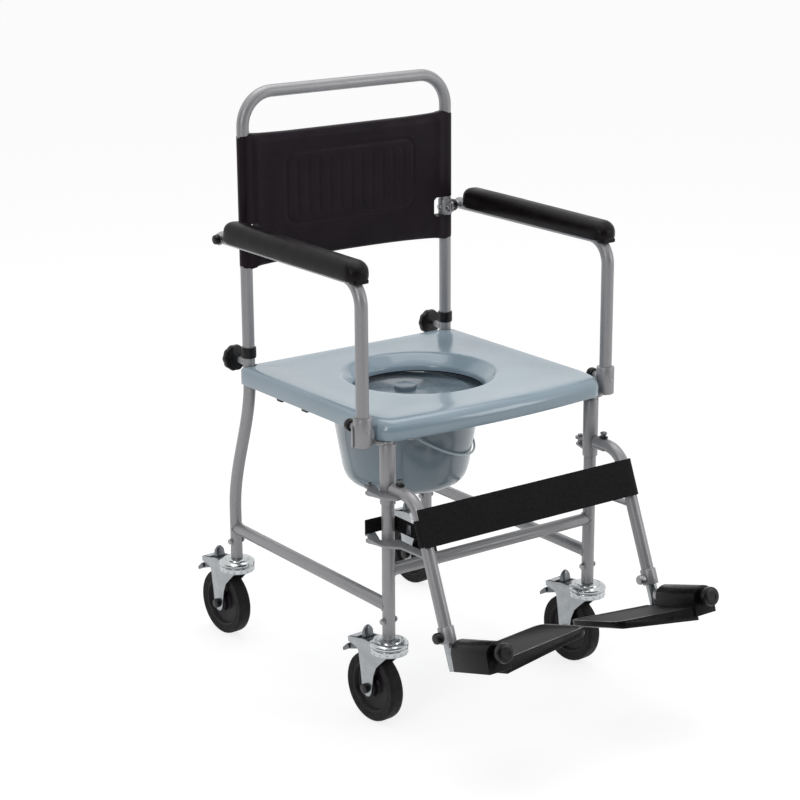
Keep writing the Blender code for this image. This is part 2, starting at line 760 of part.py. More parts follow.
def arm_path(s):
    x = s * ARM_X
    corners = [(x, ARM_END_Y, ARM_Z), (x, ARM_POST_Y, ARM_Z), (x, ARM_POST_Y, ARM_FOOT_Z)]
    return rounded(corners, ARM_BEND_R)


def arm_tube(side, s):
    x = s * ARM_X
    arm = tube("arm_tube_" + side, arm_path(s), TUBE_R)
    ferrule = rod("ferrule", *[(x, ARM_POST_Y, z) for z in FERRULE_Z], FERRULE_R)
    rivet_y = ARM_POST_Y - FERRULE_R
    rivet_ends = [(x, rivet_y + 0.004, FERRULE_RIVET_Z), (x, rivet_y - 0.0012, FERRULE_RIVET_Z)]
    rivet = rod("rivet", *rivet_ends, 0.0032, 0.002, sides=PIN_SIDES)
    join(arm, ferrule, rivet)
    bore(arm, (x - 0.02, BACK_Y, ARM_Z), (x + 0.02, BACK_Y, ARM_Z), ARM_PIN_R)
    return finish(pivot_at(arm, (x, BACK_Y, ARM_Z)), "painted tube")


def soften_top(part, top, offset, segments):
    """Round the edges of a part's flat top."""
    shape = bmesh.new()
    shape.from_mesh(part.data)
    rim = [e for e in shape.edges if all(abs(v.co.z - top) < WELD for v in e.verts)]
    bmesh.ops.bevel(
        shape,
        geom=rim,
        offset=offset,
        offset_type="OFFSET",
        segments=segments,
        profile=0.5,
        affect="EDGES",
        clamp_overlap=True,
    )
    bmesh.ops.remove_doubles(shape, verts=shape.verts, dist=WELD)
    bmesh.ops.recalc_face_normals(shape, faces=shape.faces)
    shape.to_mesh(part.data)
    shape.free()
    part.data.shade_smooth()
    part.data.set_sharp_from_angle(angle=radians(35))
    return part


def arm_pad(side, s):
    """A D-shaped grip, crowned on top and grooved below for the arm tube."""
    x = s * ARM_X
    half = PAD_HALF_WIDTH
    front, rear = PAD_Y
    nose = 0.017
    outline = arc((x - half + nose, front + nose), nose, 180, 270, 4)
    outline += arc((x + half - nose, front + nose), nose, 270, 360, 4)
    outline += arc((x + half - nose, rear - nose), nose, 0, 90, 4)
    outline += arc((x - half + nose, rear - nose), nose, 90, 180, 4)
    pad = soften_top(slab("arm_pad_" + side, outline, *PAD_Z), PAD_Z[1], 0.0135, 4)
    lip = box("lip", (x - 0.015, front + 0.003, 0.786), (x + 0.015, front + 0.02, PAD_Z[0] + 0.003))
    join(pad, lip)
    cut(pad, tube("groove", arm_path(s), TUBE_R + 2 * GAP))
    return finish(pad, "black plastic")


def arm_plunger(side, s):
    x = s * ARM_X
    low, high = PLUNGER_KNOB_Y
    knob = round_knob("arm_plunger_" + side, 0.011, low, high, points=20)
    turn_to(knob, along_y(x, 0, PLUNGER_Z))
    pin_ends = [(x, ARM_POST_Y + SOCKET_R[0], PLUNGER_Z), (x, low + 0.003, PLUNGER_Z)]
    join(knob, rod("pin", *pin_ends, PLUNGER_PIN_R, sides=PIN_SIDES))
    return finish(pivot_at(knob, (x, low, PLUNGER_Z)), "black plastic")


def seat_outline(inset):
    """The seat seen from above, with a gently bowed front edge."""
    half = SEAT_HALF_WIDTH - inset
    corner_x = SEAT_HALF_WIDTH - SEAT_CORNER_R
    corner_y = SEAT_CORNER_Y + SEAT_CORNER_R
    radius = SEAT_CORNER_R - inset
    rear = SEAT_REAR_EDGE_Y - inset
    rear_r = 0.008
    outline = arc((half - rear_r, rear - rear_r), rear_r, 0, 90, 2)
    outline += arc((-half + rear_r, rear - rear_r), rear_r, 90, 180, 2)
    outline += arc((-corner_x, corner_y), radius, 180, 262, 5)
    bow = SEAT_CORNER_Y - SEAT_FRONT_Y_MID
    for k in range(-3, 4):
        x = k * 0.052
        outline.append((x, SEAT_CORNER_Y + inset - bow * (1 - (x / corner_x) ** 2)))
    outline += arc((corner_x, corner_y), radius, 278, 360, 5)
    return outline


def seat_edge_r(y):
    """The edge's radius grows from the sides to the rolled front."""
    start, end = SEAT_ROLL_Y
    return SEAT_EDGE_R + (SEAT_ROLL_R - SEAT_EDGE_R) * ease((y - start) / (end - start))


def seat_tray(name, wall, low, top, segments):
    """The seat's outline, a wall's width inside, drawn up into a rounded top."""
    outline = seat_outline(wall)
    radii = [seat_edge_r(y) - wall for x, y in outline]
    shape = bmesh.new()
    rings = [[shape.verts.new((*point, low)) for point in outline]]
    for k in range(segments + 1):
        a = pi / 2 * k / segments
        ring = []
        for index, r in enumerate(radii):
            point = seat_outline(wall + r * (1 - cos(a)))[index]
            ring.append(shape.verts.new((*point, top - r + r * sin(a))))
        rings.append(ring)
    sides = []
    for lower, upper in zip(rings, rings[1:]):
        for k in range(len(lower)):
            sides.append(shape.faces.new((lower[k - 1], lower[k], upper[k], upper[k - 1])))
    shape.faces.new(rings[0][::-1])
    shape.faces.new(rings[-1])
    bmesh.ops.triangulate(shape, faces=sides)
    bmesh.ops.recalc_face_normals(shape, faces=shape.faces)
    return from_bmesh(name, shape)


def seat_shell():
    """A moulded tray over the seat frame with a funnel down into the pan."""
    shell = seat_tray("seat_shell", 0, SEAT_SKIRT_Z, SEAT_TOP_Z, 4)
    cut(shell, seat_tray("hollow", SEAT_WALL, SEAT_SKIRT_Z - 0.01, SEAT_UNDER_Z, 2))
    place = Matrix.Translation((0, HOLE_Y, 0))
    wall = [(0, 0.549), (0.146, 0.549), (0.1415, 0.5445)]
    wall += [(0.1215, 0.5255), (0.1205, 0.5180), (0, 0.5180)]
    join(shell, turned("funnel wall", wall, place, steps=FUNNEL_STEPS))
    mouth = [
        (0, 0.556),
        (0.1425, 0.556),
        (0.1400, 0.5508),
        (0.1360, 0.5480),
        (0.1185, 0.5300),
        (0.1175, 0.5270),
        (0.1175, 0.5150),
        (0, 0.5150),
    ]
    cut(shell, turned("funnel mouth", mouth, place, steps=FUNNEL_STEPS))
    for s in (-1, 1):
        x = s * LEG_X
        notch = arc((x, BACK_Y), NOTCH_R, 180, 360, 8)
        notch += [(x + NOTCH_R, BACK_Y + 0.03), (x - NOTCH_R, BACK_Y + 0.03)]
        cut(shell, slab("leg notch", notch, SEAT_SKIRT_Z - 0.02, SEAT_TOP_Z + 0.02))
    return finish(shell, "seat plastic")


def commode_pan():
    """A tapered bowl that hangs by its rim, with two pins for the bail."""
    outer = [(0.150, 0.5030), (0.150, 0.4988), (0.1385, 0.4988), (0.116, 0.370)]
    outer += [(0.1115, 0.3535), (0.1005, 0.3415), (0.085, 0.3360), (0, 0.3360)]
    inner = [(0, 0.3385), (0.084, 0.3385), (0.099, 0.3438), (0.1135, 0.371)]
    inner += [(0.1355, 0.497), (0.1355, 0.5030)]
    place = Matrix.Translation((0, PAN_Y, 0))
    pan = turned("commode_pan", outer + inner, place, steps=PAN_STEPS, closed=True)
    reach = Vector((cos(PAN_TURN), sin(PAN_TURN), 0))
    centre = Vector((0, PAN_Y, PAN_PIVOT_Z))
    for s in (-1, 1):
        start = centre + reach * s * 0.1345
        join(pan, rod("bail pin", start, centre + reach * s * 0.1465, 0.0022, sides=PIN_SIDES))
    return finish(pan, "pan plastic")


def pan_lid():
    profile = [
        (0, 0.5170),
        (0.0190, 0.5170),
        (0.0208, 0.5155),
        (0.0190, 0.5072),
        (0.1150, 0.5072),
        (0.1190, 0.5060),
        (0.1460, 0.5060),
        (0.1460, 0.5034),
        (0.1338, 0.5034),
        (0.1328, 0.4985),
        (0.1305, 0.5038),
        (0, 0.5038),
    ]
    lid = turned("pan_lid", profile, Matrix.Translation((0, PAN_Y, 0)), PAN_STEPS)
    return finish(lid, "pan plastic")


def bail_handle():
    """A wire half-hoop that hangs from the pan's rim against its side."""
    reach = Vector((cos(PAN_TURN), sin(PAN_TURN), 0))
    forward = Vector((sin(PAN_TURN), -cos(PAN_TURN), 0))
    centre = Vector((0, PAN_Y, PAN_PIVOT_Z))
    points = []
    steps = 16
    for k in range(steps + 1):
        t = radians(1) + (pi - radians(2)) * k / steps
        swing = forward * cos(BAIL_HANG) - Vector((0, 0, sin(BAIL_HANG)))
        points.append(centre - reach * BAIL_HALF_WIDTH * cos(t) + swing * BAIL_REACH * sin(t))
    bail = tube("bail_handle", points, BAIL_WIRE_R, sides=6)
    for s in (-1, 1):
        eye = centre + reach * s * BAIL_HALF_WIDTH
        join(bail, rod("eye", eye - reach * 0.0018, eye + reach * 0.0018, 0.0048, sides=PIN_SIDES))
        bore(bail, eye - reach * 0.01, eye + reach * 0.01, 0.0022)
    return finish(pivot_at(bail, centre), "pale wire")


def hanger_line_y(z):
    """The Y of the hanger's lower run at a height."""
    return HANGER_CORNER_Y - (HANGER_TOP_Z - z) * HANGER_SLOPE


def hanger_point(s, z, forward=0.0):
    """A point on the hanger's lower run, or square before it."""
    length = hypot(1, HANGER_SLOPE)
    y = hanger_line_y(z) - forward / length
    return Vector((s * LEG_X, y, z + forward * HANGER_SLOPE / length))


def hanger_path(s):
    x = s * LEG_X
    corners = [(x, HANGER_START_Y, HANGER_TOP_Z), (x, HANGER_CORNER_Y, HANGER_TOP_Z)]
    return rounded(corners + [hanger_point(s, HANGER_FOOT_Z)], HANGER_BEND_R)


def hinge_plate_outline(s, front_points):
    """Seen from above: round the pin, past the leg's outer side and on to the hanger's tube."""
    leg_x, pin_x = LEG_X, HANGER_PIN[0]
    outline = arc((leg_x, FRONT_LEG_Y), SLEEVE_R + 0.0018, -98, 40, 9)
    outline += arc((pin_x, HANGER_PIN[1]), 0.0095, 195, -30, 8)
    outline += [(0.2525, -0.113), (0.2525, -0.152)]
    outline += front_points
    return [(s * x, y) for x, y in outline]


def hanger(side, s):
    body = tube("hanger_" + side, hanger_path(s), TUBE_R)
    collar_ends = [hanger_point(s, z) for z in (HANGER_COLLAR_TOP_Z, HANGER_FOOT_Z)]
    collar = rod("collar", *collar_ends, HANGER_COLLAR_R)
    upper_front = [(0.2365, -0.178), (0.2115, -0.178), (0.2115, HANGER_START_Y - 0.0008)]
    rear_y = hanger_line_y(LOWER_PLATE_Z)
    lower_front = [
        (0.232, -0.180),
        (0.229, rear_y),
        (0.215, rear_y),
        (0.212, -0.180),
        (0.2115, HANGER_START_Y - 0.0008),
    ]
    join(body, collar)
    half = PLATE_THICK / 2
    for front_points, z in ((upper_front, UPPER_PLATE_Z), (lower_front, LOWER_PLATE_Z)):
        join(body, slab("hinge plate", hinge_plate_outline(s, front_points), z - half, z + half))
    pin_x, pin_y = s * HANGER_PIN[0], HANGER_PIN[1]
    for z in (UPPER_PLATE_Z, LOWER_PLATE_Z):
        bore(body, (pin_x, pin_y, z - 0.01), (pin_x, pin_y, z + 0.01), HANGER_PIN_R)
    bore(body, hanger_point(s, STEM_BORE_Z), hanger_point(s, HANGER_FOOT_Z - 0.01), STEM_R)
    lock = hanger_point(s, LOCK_Z)
    bore(body, lock + Vector((-0.008, 0, 0)), lock + Vector((-0.020, 0, 0)), LOCK_SHANK_R)
    x = s * LEG_X
    bore_end = LATCH_Y - LATCH_TRAVEL - 0.009
    bore(body, (x, HANGER_START_Y + 0.01, HANGER_TOP_Z), (x, bore_end, HANGER_TOP_Z), LATCH_PIN_R)
    slot_half = LATCH_STEM_R + 2 * GAP
    slot_front = LATCH_Y - LATCH_TRAVEL - LATCH_STEM_R - 0.002
    slot_rear = LATCH_Y + LATCH_STEM_R + 0.002
    low = (x - slot_half, slot_front, HANGER_TOP_Z)
    cut(body, box("latch slot", low, (x + slot_half, slot_rear, HANGER_TOP_Z + 0.02)))
    return finish(pivot_at(body, (pin_x, pin_y, UPPER_PLATE_Z)), "painted tube")


def hanger_latch(side, s):
    """A spring pin inside the hanger's upper end, pulled forward by a thumb knob on top."""
    x = s * LEG_X
    top = HANGER_TOP_Z + TUBE_R + 2 * GAP
    pin_ends = [(x, y, HANGER_TOP_Z) for y in (HANGER_START_Y - 0.001, LATCH_Y - 0.004)]
    pin = rod("hanger_latch_" + side, *pin_ends, LATCH_PIN_R)
    stem = rod("stem", (x, LATCH_Y, HANGER_TOP_Z), (x, LATCH_Y, top + 0.006), LATCH_STEM_R)
    oval = link_outline((x, LATCH_Y + 0.003), 0.0058, (x, LATCH_Y - 0.003), 0.0058)
    base = slab("base", oval, top, top + 0.003)
    grip = rod("grip", (x, LATCH_Y, top + 0.002), (x, LATCH_Y, top + 0.0105), 0.0042, 0.0062)
    join(pin, stem, base, grip)
    return finish(pivot_at(pin, (x, LATCH_Y, HANGER_TOP_Z)), "zinc")


def stem_shift(side):
    """How far the footrest is let down along the hanger."""
    length = hypot(1, HANGER_SLOPE)
    drop = STEM_SETTING[side]
    return Vector((0, -drop * HANGER_SLOPE / length, -drop / length))


def plate_place(side, s):
    """The footplate's own frame: inward, forward along its bar, and square above the bar."""
    start = Vector((s * LEG_X, *PLATE_AXIS_START)) + stem_shift(side)
    inward = Vector((-s, 0, 0))
    ahead = Vector((0, -cos(PLATE_AXIS_RISE), sin(PLATE_AXIS_RISE)))
    above = Vector((0, sin(PLATE_AXIS_RISE), cos(PLATE_AXIS_RISE)))
    frame = Matrix((inward, ahead, above)).transposed().to_4x4()
    return Matrix.Translation(start) @ frame


def footplate_stem(side, s):
    """The inner tube with the forward bar that the footplate turns on."""
    shift = stem_shift(side)
    foot = hanger_point(s, STEM_FOOT_Z) + shift
    upward = (hanger_point(s, 1) - hanger_point(s, 0)).normalized()
    stem = rod("footplate_stem_" + side, foot, foot + upward * STEM_LENGTH, STEM_R)
    place = plate_place(side, s)

    def at(distance):
        return place @ Vector((0, distance, 0))

    bar = rod("bar", at(-0.0306), at(BLOCK_LENGTH + GAP), BAR_R)
    spacer = rod("spacer", at(-0.0203), at(-GAP), 0.011)
    stud = rod("stud", at(BLOCK_LENGTH - 0.005), at(0.112), BAR_STUD_R)
    join(stem, bar, spacer, stud)
    return finish(pivot_at(stem, foot), "zinc")


def footplate(side, s):
    """A moulded plate and its hinge block in one piece, seen along the bar for its sections."""
    place = plate_place(side, s)
    half = BLOCK_HALF_WIDTH
    hump = [(half * cos(radians(a)), 0.019 * sin(radians(a))) for a in range(0, 181, 20)]
    block_section = [(-half, -0.031), (half, -0.031)] + hump
    middle = (0, BLOCK_LENGTH / 2, 0)
    block = plate("footplate_" + side, block_section, BLOCK_LENGTH - GAP, FRONT_VIEW, middle)
    rise = tan(PLATE_TILT) * (PLATE_IN - 0.015)
    deck_section = [(0.015, -0.0385), (PLATE_IN - 0.012, -0.0150), (PLATE_IN, -0.0105)]
    deck_section += [(PLATE_IN, -0.0147 + rise), (0.015, -0.0147)]
    near, far = PLATE_S
    deck = plate("deck", deck_section, far - near, FRONT_VIEW, (0, (near + far) / 2, 0))
    corner = DECK_CORNER_R
    deck_plan = arc((PLATE_IN - corner, near + corner), corner, -90, 0, 4)
    deck_plan += arc((PLATE_IN - corner, far - corner), corner, 0, 90, 4)
    deck_plan += [(0.0, far), (0.0, near)]
    combine(deck, slab("deck corners", deck_plan, -0.06, 0.06), "INTERSECT")
    for piece in (block, deck):
        place_with_operands(piece, place)
    join(block, deck)
    bore(block, place @ Vector((0, -0.01, 0)), place @ Vector((0, BLOCK_LENGTH + 0.01, 0)), BAR_R)
    return finish(pivot_at(block, place.translation), "black plastic")


def footplate_knob(side, s):
    """The screw knob on the bar's front end."""
    place = plate_place(side, s)
    start = BLOCK_LENGTH + 3 * GAP

    def at(distance):
        return place @ Vector((0, distance, 0))

    knob = rod("footplate_knob_" + side, at(start), at(start + 0.010), 0.012, sides=16)
    join(knob, rod("disc", at(start + 0.009), at(start + 0.0215), 0.0165, 0.0155, sides=DOME_SIDES))
    bore(knob, at(start - 0.005), at(0.1125), BAR_STUD_R)
    return finish(pivot_at(knob, at(start)), "black plastic")


def height_lock_knob(side, s):
    """A screw knob that reaches through the collar towards the stem, on the same side of both
    hangers."""
    centre = hanger_point(s, LOCK_Z)

    def at(distance):
        return centre + Vector((-distance, 0, 0))

    knob_r = 0.0095 if side == "left" else 0.0085
    knob = rod("height_lock_knob_" + side, at(0.0142), at(0.0262), knob_r, sides=16)
    join(knob, rod("shank", at(0.0103), at(0.0152), LOCK_SHANK_R, sides=PIN_SIDES))
    return finish(pivot_at(knob, at(0.0142)), "black plastic" if side == "left" else "zinc")


def calf_strap():
    """Webbing across the front of both hangers, wrapped round the right one."""
    low, high = STRAP_Z
    near, far = STRAP_OFFSET, STRAP_OFFSET + STRAP_THICK
    side_y_z = []
    for z, forward in ((low, near), (low, far), (high, far), (high, near)):
        point = hanger_point(1, z, forward)
        side_y_z.append((point.y, point.z))
    band = plate("calf_strap", side_y_z, 2 * STRAP_HALF_WIDTH, SIDE_VIEW)
    wrap_low, wrap_high = STRAP_WRAP_Z
    wrap_ends = [hanger_point(1, wrap_low), hanger_point(1, wrap_high)]
    join(band, rod("wrap", *wrap_ends, STRAP_OFFSET + 0.001, sides=16))
    bore(band, hanger_point(1, wrap_low - 0.02), hanger_point(1, wrap_high + 0.02), TUBE_R)
    return finish(band, "webbing")


def calf_strap_tail():
    """The strap's end: a wrap round the left hanger and a ribbed tail that runs back inside the
    leg and turns outward behind it."""
    wrap_low, wrap_high = STRAP_WRAP_Z
    wrap_ends = [hanger_point(-1, wrap_low), hanger_point(-1, wrap_high)]
    wrap = rod("calf_strap_tail", *wrap_ends, TUBE_R + 0.002, sides=16)
    centre_line = [(-0.2105, -0.242), (-0.2055, -0.218), (-0.2040, -0.180), (-0.2040, -0.1265)]
    centre_line += arc((-0.2165, -0.1265), 0.0125, 0, 90, 5)[1:]
    centre_line += [(-0.2570, -0.1140)]
    half = 0.0011
    outer, inner = [], []
    for k, point in enumerate(centre_line):
        before = Vector(centre_line[max(k - 1, 0)])
        after = Vector(centre_line[min(k + 1, len(centre_line) - 1)])
        heading = (after - before).normalized()
        sideways = Vector((-heading.y, heading.x)) * half
        outer.append(tuple(Vector(point) + sideways))
        inner.append(tuple(Vector(point) - sideways))
    join(wrap, slab("tail", outer + inner[::-1], *TAIL_Z))
    bore(wrap, hanger_point(-1, wrap_low - 0.02), hanger_point(-1, wrap_high + 0.02), TUBE_R)
    return finish(wrap, "webbing")


def castor_place(x, y):
    """A castor's own frame: across, trailing behind its stem, and up from the floor."""
    return Matrix.Translation((x, y, 0)) @ Matrix.Rotation(CASTOR_TURN, 4, "Z")


def castor_stem(name, place):
    """The bolt inside the leg and the domed bearing cover under it."""
    profile = [
        (0, 0.1870),
        (0.0085, 0.1870),
        (0.0085, 0.1617),
        (0.0150, 0.1614),
        (0.0265, 0.1592),
        (0.0330, 0.1545),
        (0.0340, 0.1503),
        (0, 0.1503),
    ]
    return finish(turned(name, profile, place, DOME_SIDES), "zinc")


def castor_fork(name):
    """Pressed steel: a round top, two arms, the wheel's axle with its nuts, and a housing behind
    with a slot for the brake pedal."""
    outline = [(-0.020, FORK_TOP_Z), (-0.020, 0.1385), (-0.010, 0.1300), (0.001, 0.1190)]
    outline += [(0.0100, 0.1070), (0.0170, 0.0890), (0.0225, WHEEL_R)]
    outline += arc((CASTOR_TRAIL, WHEEL_R), 0.0165, 180, 360, 6)[1:]
    outline += [(0.0590, 0.085), (0.0620, 0.124), (0.0680, 0.1300), (0.0895, 0.1335)]
    outline += [(0.0910, 0.1425), (0.0450, FORK_TOP_Z)]
    fork = plate(name, outline, 2 * FORK_HALF, SIDE_VIEW)
    wheel_room = [(-0.05, 0), (0.12, 0), (0.12, HOUSING_UNDER_Z), (0.036, HOUSING_UNDER_Z)]
    wheel_room += [(0.036, 0.1300), (-0.05, 0.1300)]
    cut(fork, plate("wheel room", wheel_room, 2 * FORK_GAP_HALF, SIDE_VIEW))
    half, front, rear = PEDAL_SLOT
    slot_low = (-half, front, HOUSING_UNDER_Z - 0.005)
    cut(fork, box("pedal slot", slot_low, (half, rear, FORK_TOP_Z + 0.01)))
    plate_top = rod("swivel plate", (0, 0, 0.1375), (0, 0, 0.1499), SWIVEL_R, sides=DOME_SIDES)
    axle_end = FORK_HALF + 0.0065
    axle = bolt("axle", (0, CASTOR_TRAIL, WHEEL_R), axle_end, AXLE_R, 0.0078, 0.0068)
    pin_ends = [(end * 0.017, *BRAKE_AXIS) for end in (-1, 1)]
    brake_pin = rod("brake pin", *pin_ends, BRAKE_PIN_R, sides=PIN_SIDES)
    join(fork, plate_top, axle, brake_pin)
    return finish(fork, "zinc")


def castor_wheel(name, place):
    """A solid tyre on a webbed centre; a flat of the tread stands on the floor."""
    rim = WHEEL_R / cos(pi / WHEEL_STEPS)
    bore_r = clear_radius(AXLE_R)
    hub = FORK_GAP_HALF - 0.0007
    profile = [
        (rim, 0.007),
        (rim, -0.007),
        (0.0580, -WHEEL_HALF),
        (0.0430, -0.0095),
        (bore_r, -hub),
        (bore_r, hub),
        (0.0430, 0.0095),
        (0.0580, WHEEL_HALF),
    ]
    axle = place @ Matrix.Translation((0, CASTOR_TRAIL, WHEEL_R))
    lying = Matrix.Rotation(pi / 2, 4, "Y") @ Matrix.Rotation(pi / WHEEL_STEPS, 4, "Z")
    return finish(turned(name, profile, axle @ lying, WHEEL_STEPS, closed=True), "tyre")


def castor_brake(name):
    """A rocking pedal on a pin behind the stem: a tread to the rear and a tab that stands up
    through the housing's slot."""
    y, z = BRAKE_AXIS
    tab = link_outline((y, z), 0.0055, (0.0620, 0.1660), 0.0035)
    rocker = plate(name, tab, 0.022, SIDE_VIEW)
    arm = link_outline((y, z), 0.0050, (0.0990, 0.1175), 0.0030)
    tread = link_outline((0.0940, 0.1205), 0.0032, (0.1058, 0.1125), 0.0022)
    join(rocker, plate("arm", arm, 0.024, SIDE_VIEW), plate("tread", tread, 0.032, SIDE_VIEW))
    bore(rocker, (-0.03, y, z), (0.03, y, z), BRAKE_PIN_R)
    return finish(rocker, "zinc")


def castor(name, x, y):
    place = castor_place(x, y)
    stem = castor_stem(name + "_stem", place)
    fork = castor_fork(name + "_fork")
    wheel = castor_wheel(name + "_wheel", place)
    brake = castor_brake(name + "_brake")
    place_with_operands(fork, place)
    place_with_operands(brake, place)
    pivot_at(fork, (x, y, 0))
    pivot_at(brake, place @ Vector((0, *BRAKE_AXIS)))
    carry(fork, wheel, brake)
    return stem


def base_frame():
    for side, s in SIDES:
        front_leg(side, s)
        rear_leg(side, s)
        side_rail(side, s)
        pan_rail(side, s)
        arm_socket(side, s)
        back_collar(side, s)
        castor("castor_front_" + side, s * LEG_X, FRONT_LEG_Y)
        castor("castor_rear_" + side, s * LEG_X, REAR_LEG_Y)
        back_clamp_knob(side, s)
        arm_plunger(side, s)
    front_cross_tube()
    seat_frame()


def back_and_arms():
    frame = back_frame_tube()
    carry(frame, back_upholstery())
    for side, s in SIDES:
        arm = arm_tube(side, s)
        carry(frame, arm_bracket(side, s), arm)
        carry(arm, arm_pad(side, s))


def seat_and_pan():
    seat_shell()
    pan = commode_pan()
    carry(pan, pan_lid(), bail_handle())


def footrests():
    for side, s in SIDES:
        arm = hanger(side, s)
        stem = footplate_stem(side, s)
        deck = footplate(side, s)
        carry(arm, hanger_latch(side, s), height_lock_knob(side, s), stem)
        carry(stem, deck, footplate_knob(side, s))
        carry(arm, calf_strap() if side == "right" else calf_strap_tail())


base_frame()
back_and_arms()
seat_and_pan()
footrests()
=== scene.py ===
"""Looks of a wheeled commode chair: silver tube frame on braked castors, moulded seat and pan,
vinyl back, padded flip-up arms, swing-away footrests and a webbing calf strap."""

from math import asin, atan2, ceil, cos, degrees, hypot, pi, radians, sin, sqrt, tan

import bmesh
import bpy
from mathutils import Matrix, Quaternion, Vector
from mathutils.noise import noise


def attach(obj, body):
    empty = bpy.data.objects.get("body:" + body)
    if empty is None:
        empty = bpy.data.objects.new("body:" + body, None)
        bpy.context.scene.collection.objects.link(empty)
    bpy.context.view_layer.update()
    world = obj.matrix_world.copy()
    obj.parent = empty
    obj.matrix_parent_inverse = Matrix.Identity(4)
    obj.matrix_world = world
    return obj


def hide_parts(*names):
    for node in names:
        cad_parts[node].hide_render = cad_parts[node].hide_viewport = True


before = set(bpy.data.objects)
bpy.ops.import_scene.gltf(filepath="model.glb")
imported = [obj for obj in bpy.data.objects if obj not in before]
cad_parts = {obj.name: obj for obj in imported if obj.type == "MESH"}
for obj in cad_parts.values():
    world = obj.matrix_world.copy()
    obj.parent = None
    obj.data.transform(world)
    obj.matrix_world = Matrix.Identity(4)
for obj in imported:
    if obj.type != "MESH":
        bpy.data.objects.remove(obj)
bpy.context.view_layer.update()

# The camera stands before the chair's left front corner at about head height, as the photograph's
# does. Its place and its lens come from a fit to the chair's own straight lines.
camera_yaw, camera_tilt, camera_roll = radians(-35.6193), radians(16.7105), radians(-0.3926)
camera_distance, camera_target = 3.8657, Vector((0, 0.150, 0.45))
camera_data = bpy.data.cameras.new("camera")
camera_data.sensor_width = 36
camera_data.lens = 2114.05 / 800 * camera_data.sensor_width
camera_data.shift_x, camera_data.shift_y = 2.67 / 800, 16.16 / 800
camera = bpy.data.objects.new("camera", camera_data)
bpy.context.scene.collection.objects.link(camera)
camera_turn = Matrix.Rotation(camera_yaw, 4, "Z") @ Matrix.Rotation(pi / 2 - camera_tilt, 4, "X")
camera_turn = camera_turn @ Matrix.Rotation(camera_roll, 4, "Z")
camera_back = camera_turn.to_3x3() @ Vector((0, 0, 1))
camera.matrix_world = Matrix.Translation(camera_target + camera_back * camera_distance) @ camera_turn
bpy.context.scene.camera = camera
bpy.context.scene.view_settings.view_transform = "Standard"

# A photographer's cove: white paper that runs out of sight, a wide soft lamp overhead and two
# softboxes in front. A dark curtain round the camera's side, out of the picture, gives the tubes
# and the plating their dark edges. The paper looks white and keeps the chair's soft shadow.
def node(material, kind, **inputs):
    made = material.node_tree.nodes.new(kind)
    for name, value in inputs.items():
        made.inputs[name.replace("_", " ")].default_value = value
    return made


def wire(material, start, end):
    material.node_tree.links.new(start, end)


def either(material, first, second):
    larger = node(material, "ShaderNodeMath")
    larger.operation = "MAXIMUM"
    wire(material, first, larger.inputs[0])
    wire(material, second, larger.inputs[1])
    return larger.outputs[0]


def shown_as(material, all_round, seen):
    """One shader lights the chair; the other is what a camera, mirror or glass ray meets."""
    rays = node(material, "ShaderNodeLightPath").outputs
    direct = either(material, rays["Is Camera Ray"], rays["Is Glossy Ray"])
    mix = node(material, "ShaderNodeMixShader")
    wire(material, either(material, direct, rays["Is Transmission Ray"]), mix.inputs[0])
    wire(material, all_round.outputs[0], mix.inputs[1])
    wire(material, seen.outputs[0], mix.inputs[2])
    return mix.outputs[0]


def to_mesh(shape, name="shape"):
    mesh = bpy.data.meshes.new(name)
    shape.to_mesh(mesh)
    shape.free()
    return mesh


def set_up(name, shape, material):
    """A part of the studio, which isn't part of the chair."""
    made = bpy.data.objects.new(name, to_mesh(shape, name))
    made.data.materials.append(material)
    bpy.context.scene.collection.objects.link(made)
    return made


world = bpy.data.worlds.new("studio")
bpy.context.scene.world = world
world.use_nodes = True
room_light = world.node_tree.nodes["Background"]
room_light.inputs["Color"].default_value = (1, 1, 1, 1)
room_light.inputs["Strength"].default_value = 0.50
white_wall = node(world, "ShaderNodeBackground", Color=(1, 1, 1, 1), Strength=1.0)
world_surface = world.node_tree.nodes["World Output"].inputs["Surface"]
wire(world, shown_as(world, room_light, white_wall), world_surface)

white_paper = bpy.data.materials.new("white paper")
white_paper.use_nodes = True
white_paper.node_tree.nodes.remove(white_paper.node_tree.nodes["Principled BSDF"])
paper_all_round = node(white_paper, "ShaderNodeBsdfDiffuse", Color=(0.72, 0.72, 0.72, 1))
paper_shade = node(white_paper, "ShaderNodeBsdfDiffuse", Color=(0.33, 0.33, 0.33, 1))
paper_glow = node(white_paper, "ShaderNodeEmission", Strength=0.80)
paper_seen = node(white_paper, "ShaderNodeAddShader")
wire(white_paper, paper_shade.outputs[0], paper_seen.inputs[0])
wire(white_paper, paper_glow.outputs[0], paper_seen.inputs[1])
paper_surface = white_paper.node_tree.nodes["Material Output"].inputs["Surface"]
wire(white_paper, shown_as(white_paper, paper_all_round, paper_seen), paper_surface)
paper_shape = bmesh.new()
bmesh.ops.create_circle(paper_shape, cap_ends=True, segments=64, radius=60)
paper = set_up("paper", paper_shape, white_paper)
paper.location.z = -0.0004


def softbox(name, place, target, size, power):
    lamp = bpy.data.lights.new(name, "AREA")
    lamp.shape = "RECTANGLE"
    lamp.size, lamp.size_y = size
    lamp.energy = power
    holder = bpy.data.objects.new(name, lamp)
    holder.location = place
    holder.rotation_euler = (Vector(target) - Vector(place)).to_track_quat("-Z", "Y").to_euler()
    bpy.context.scene.collection.objects.link(holder)


softbox("overhead softbox", (0.3, 0.6, 3.4), (0, 0.1, 0.4), (2.6, 2.2), 38)
softbox("left softbox", (-3.2, -1.6, 2.0), (0, 0, 0.5), (1.0, 2.2), 34)
softbox("right softbox", (2.4, -3.2, 1.7), (0, 0, 0.5), (1.0, 2.0), 28)

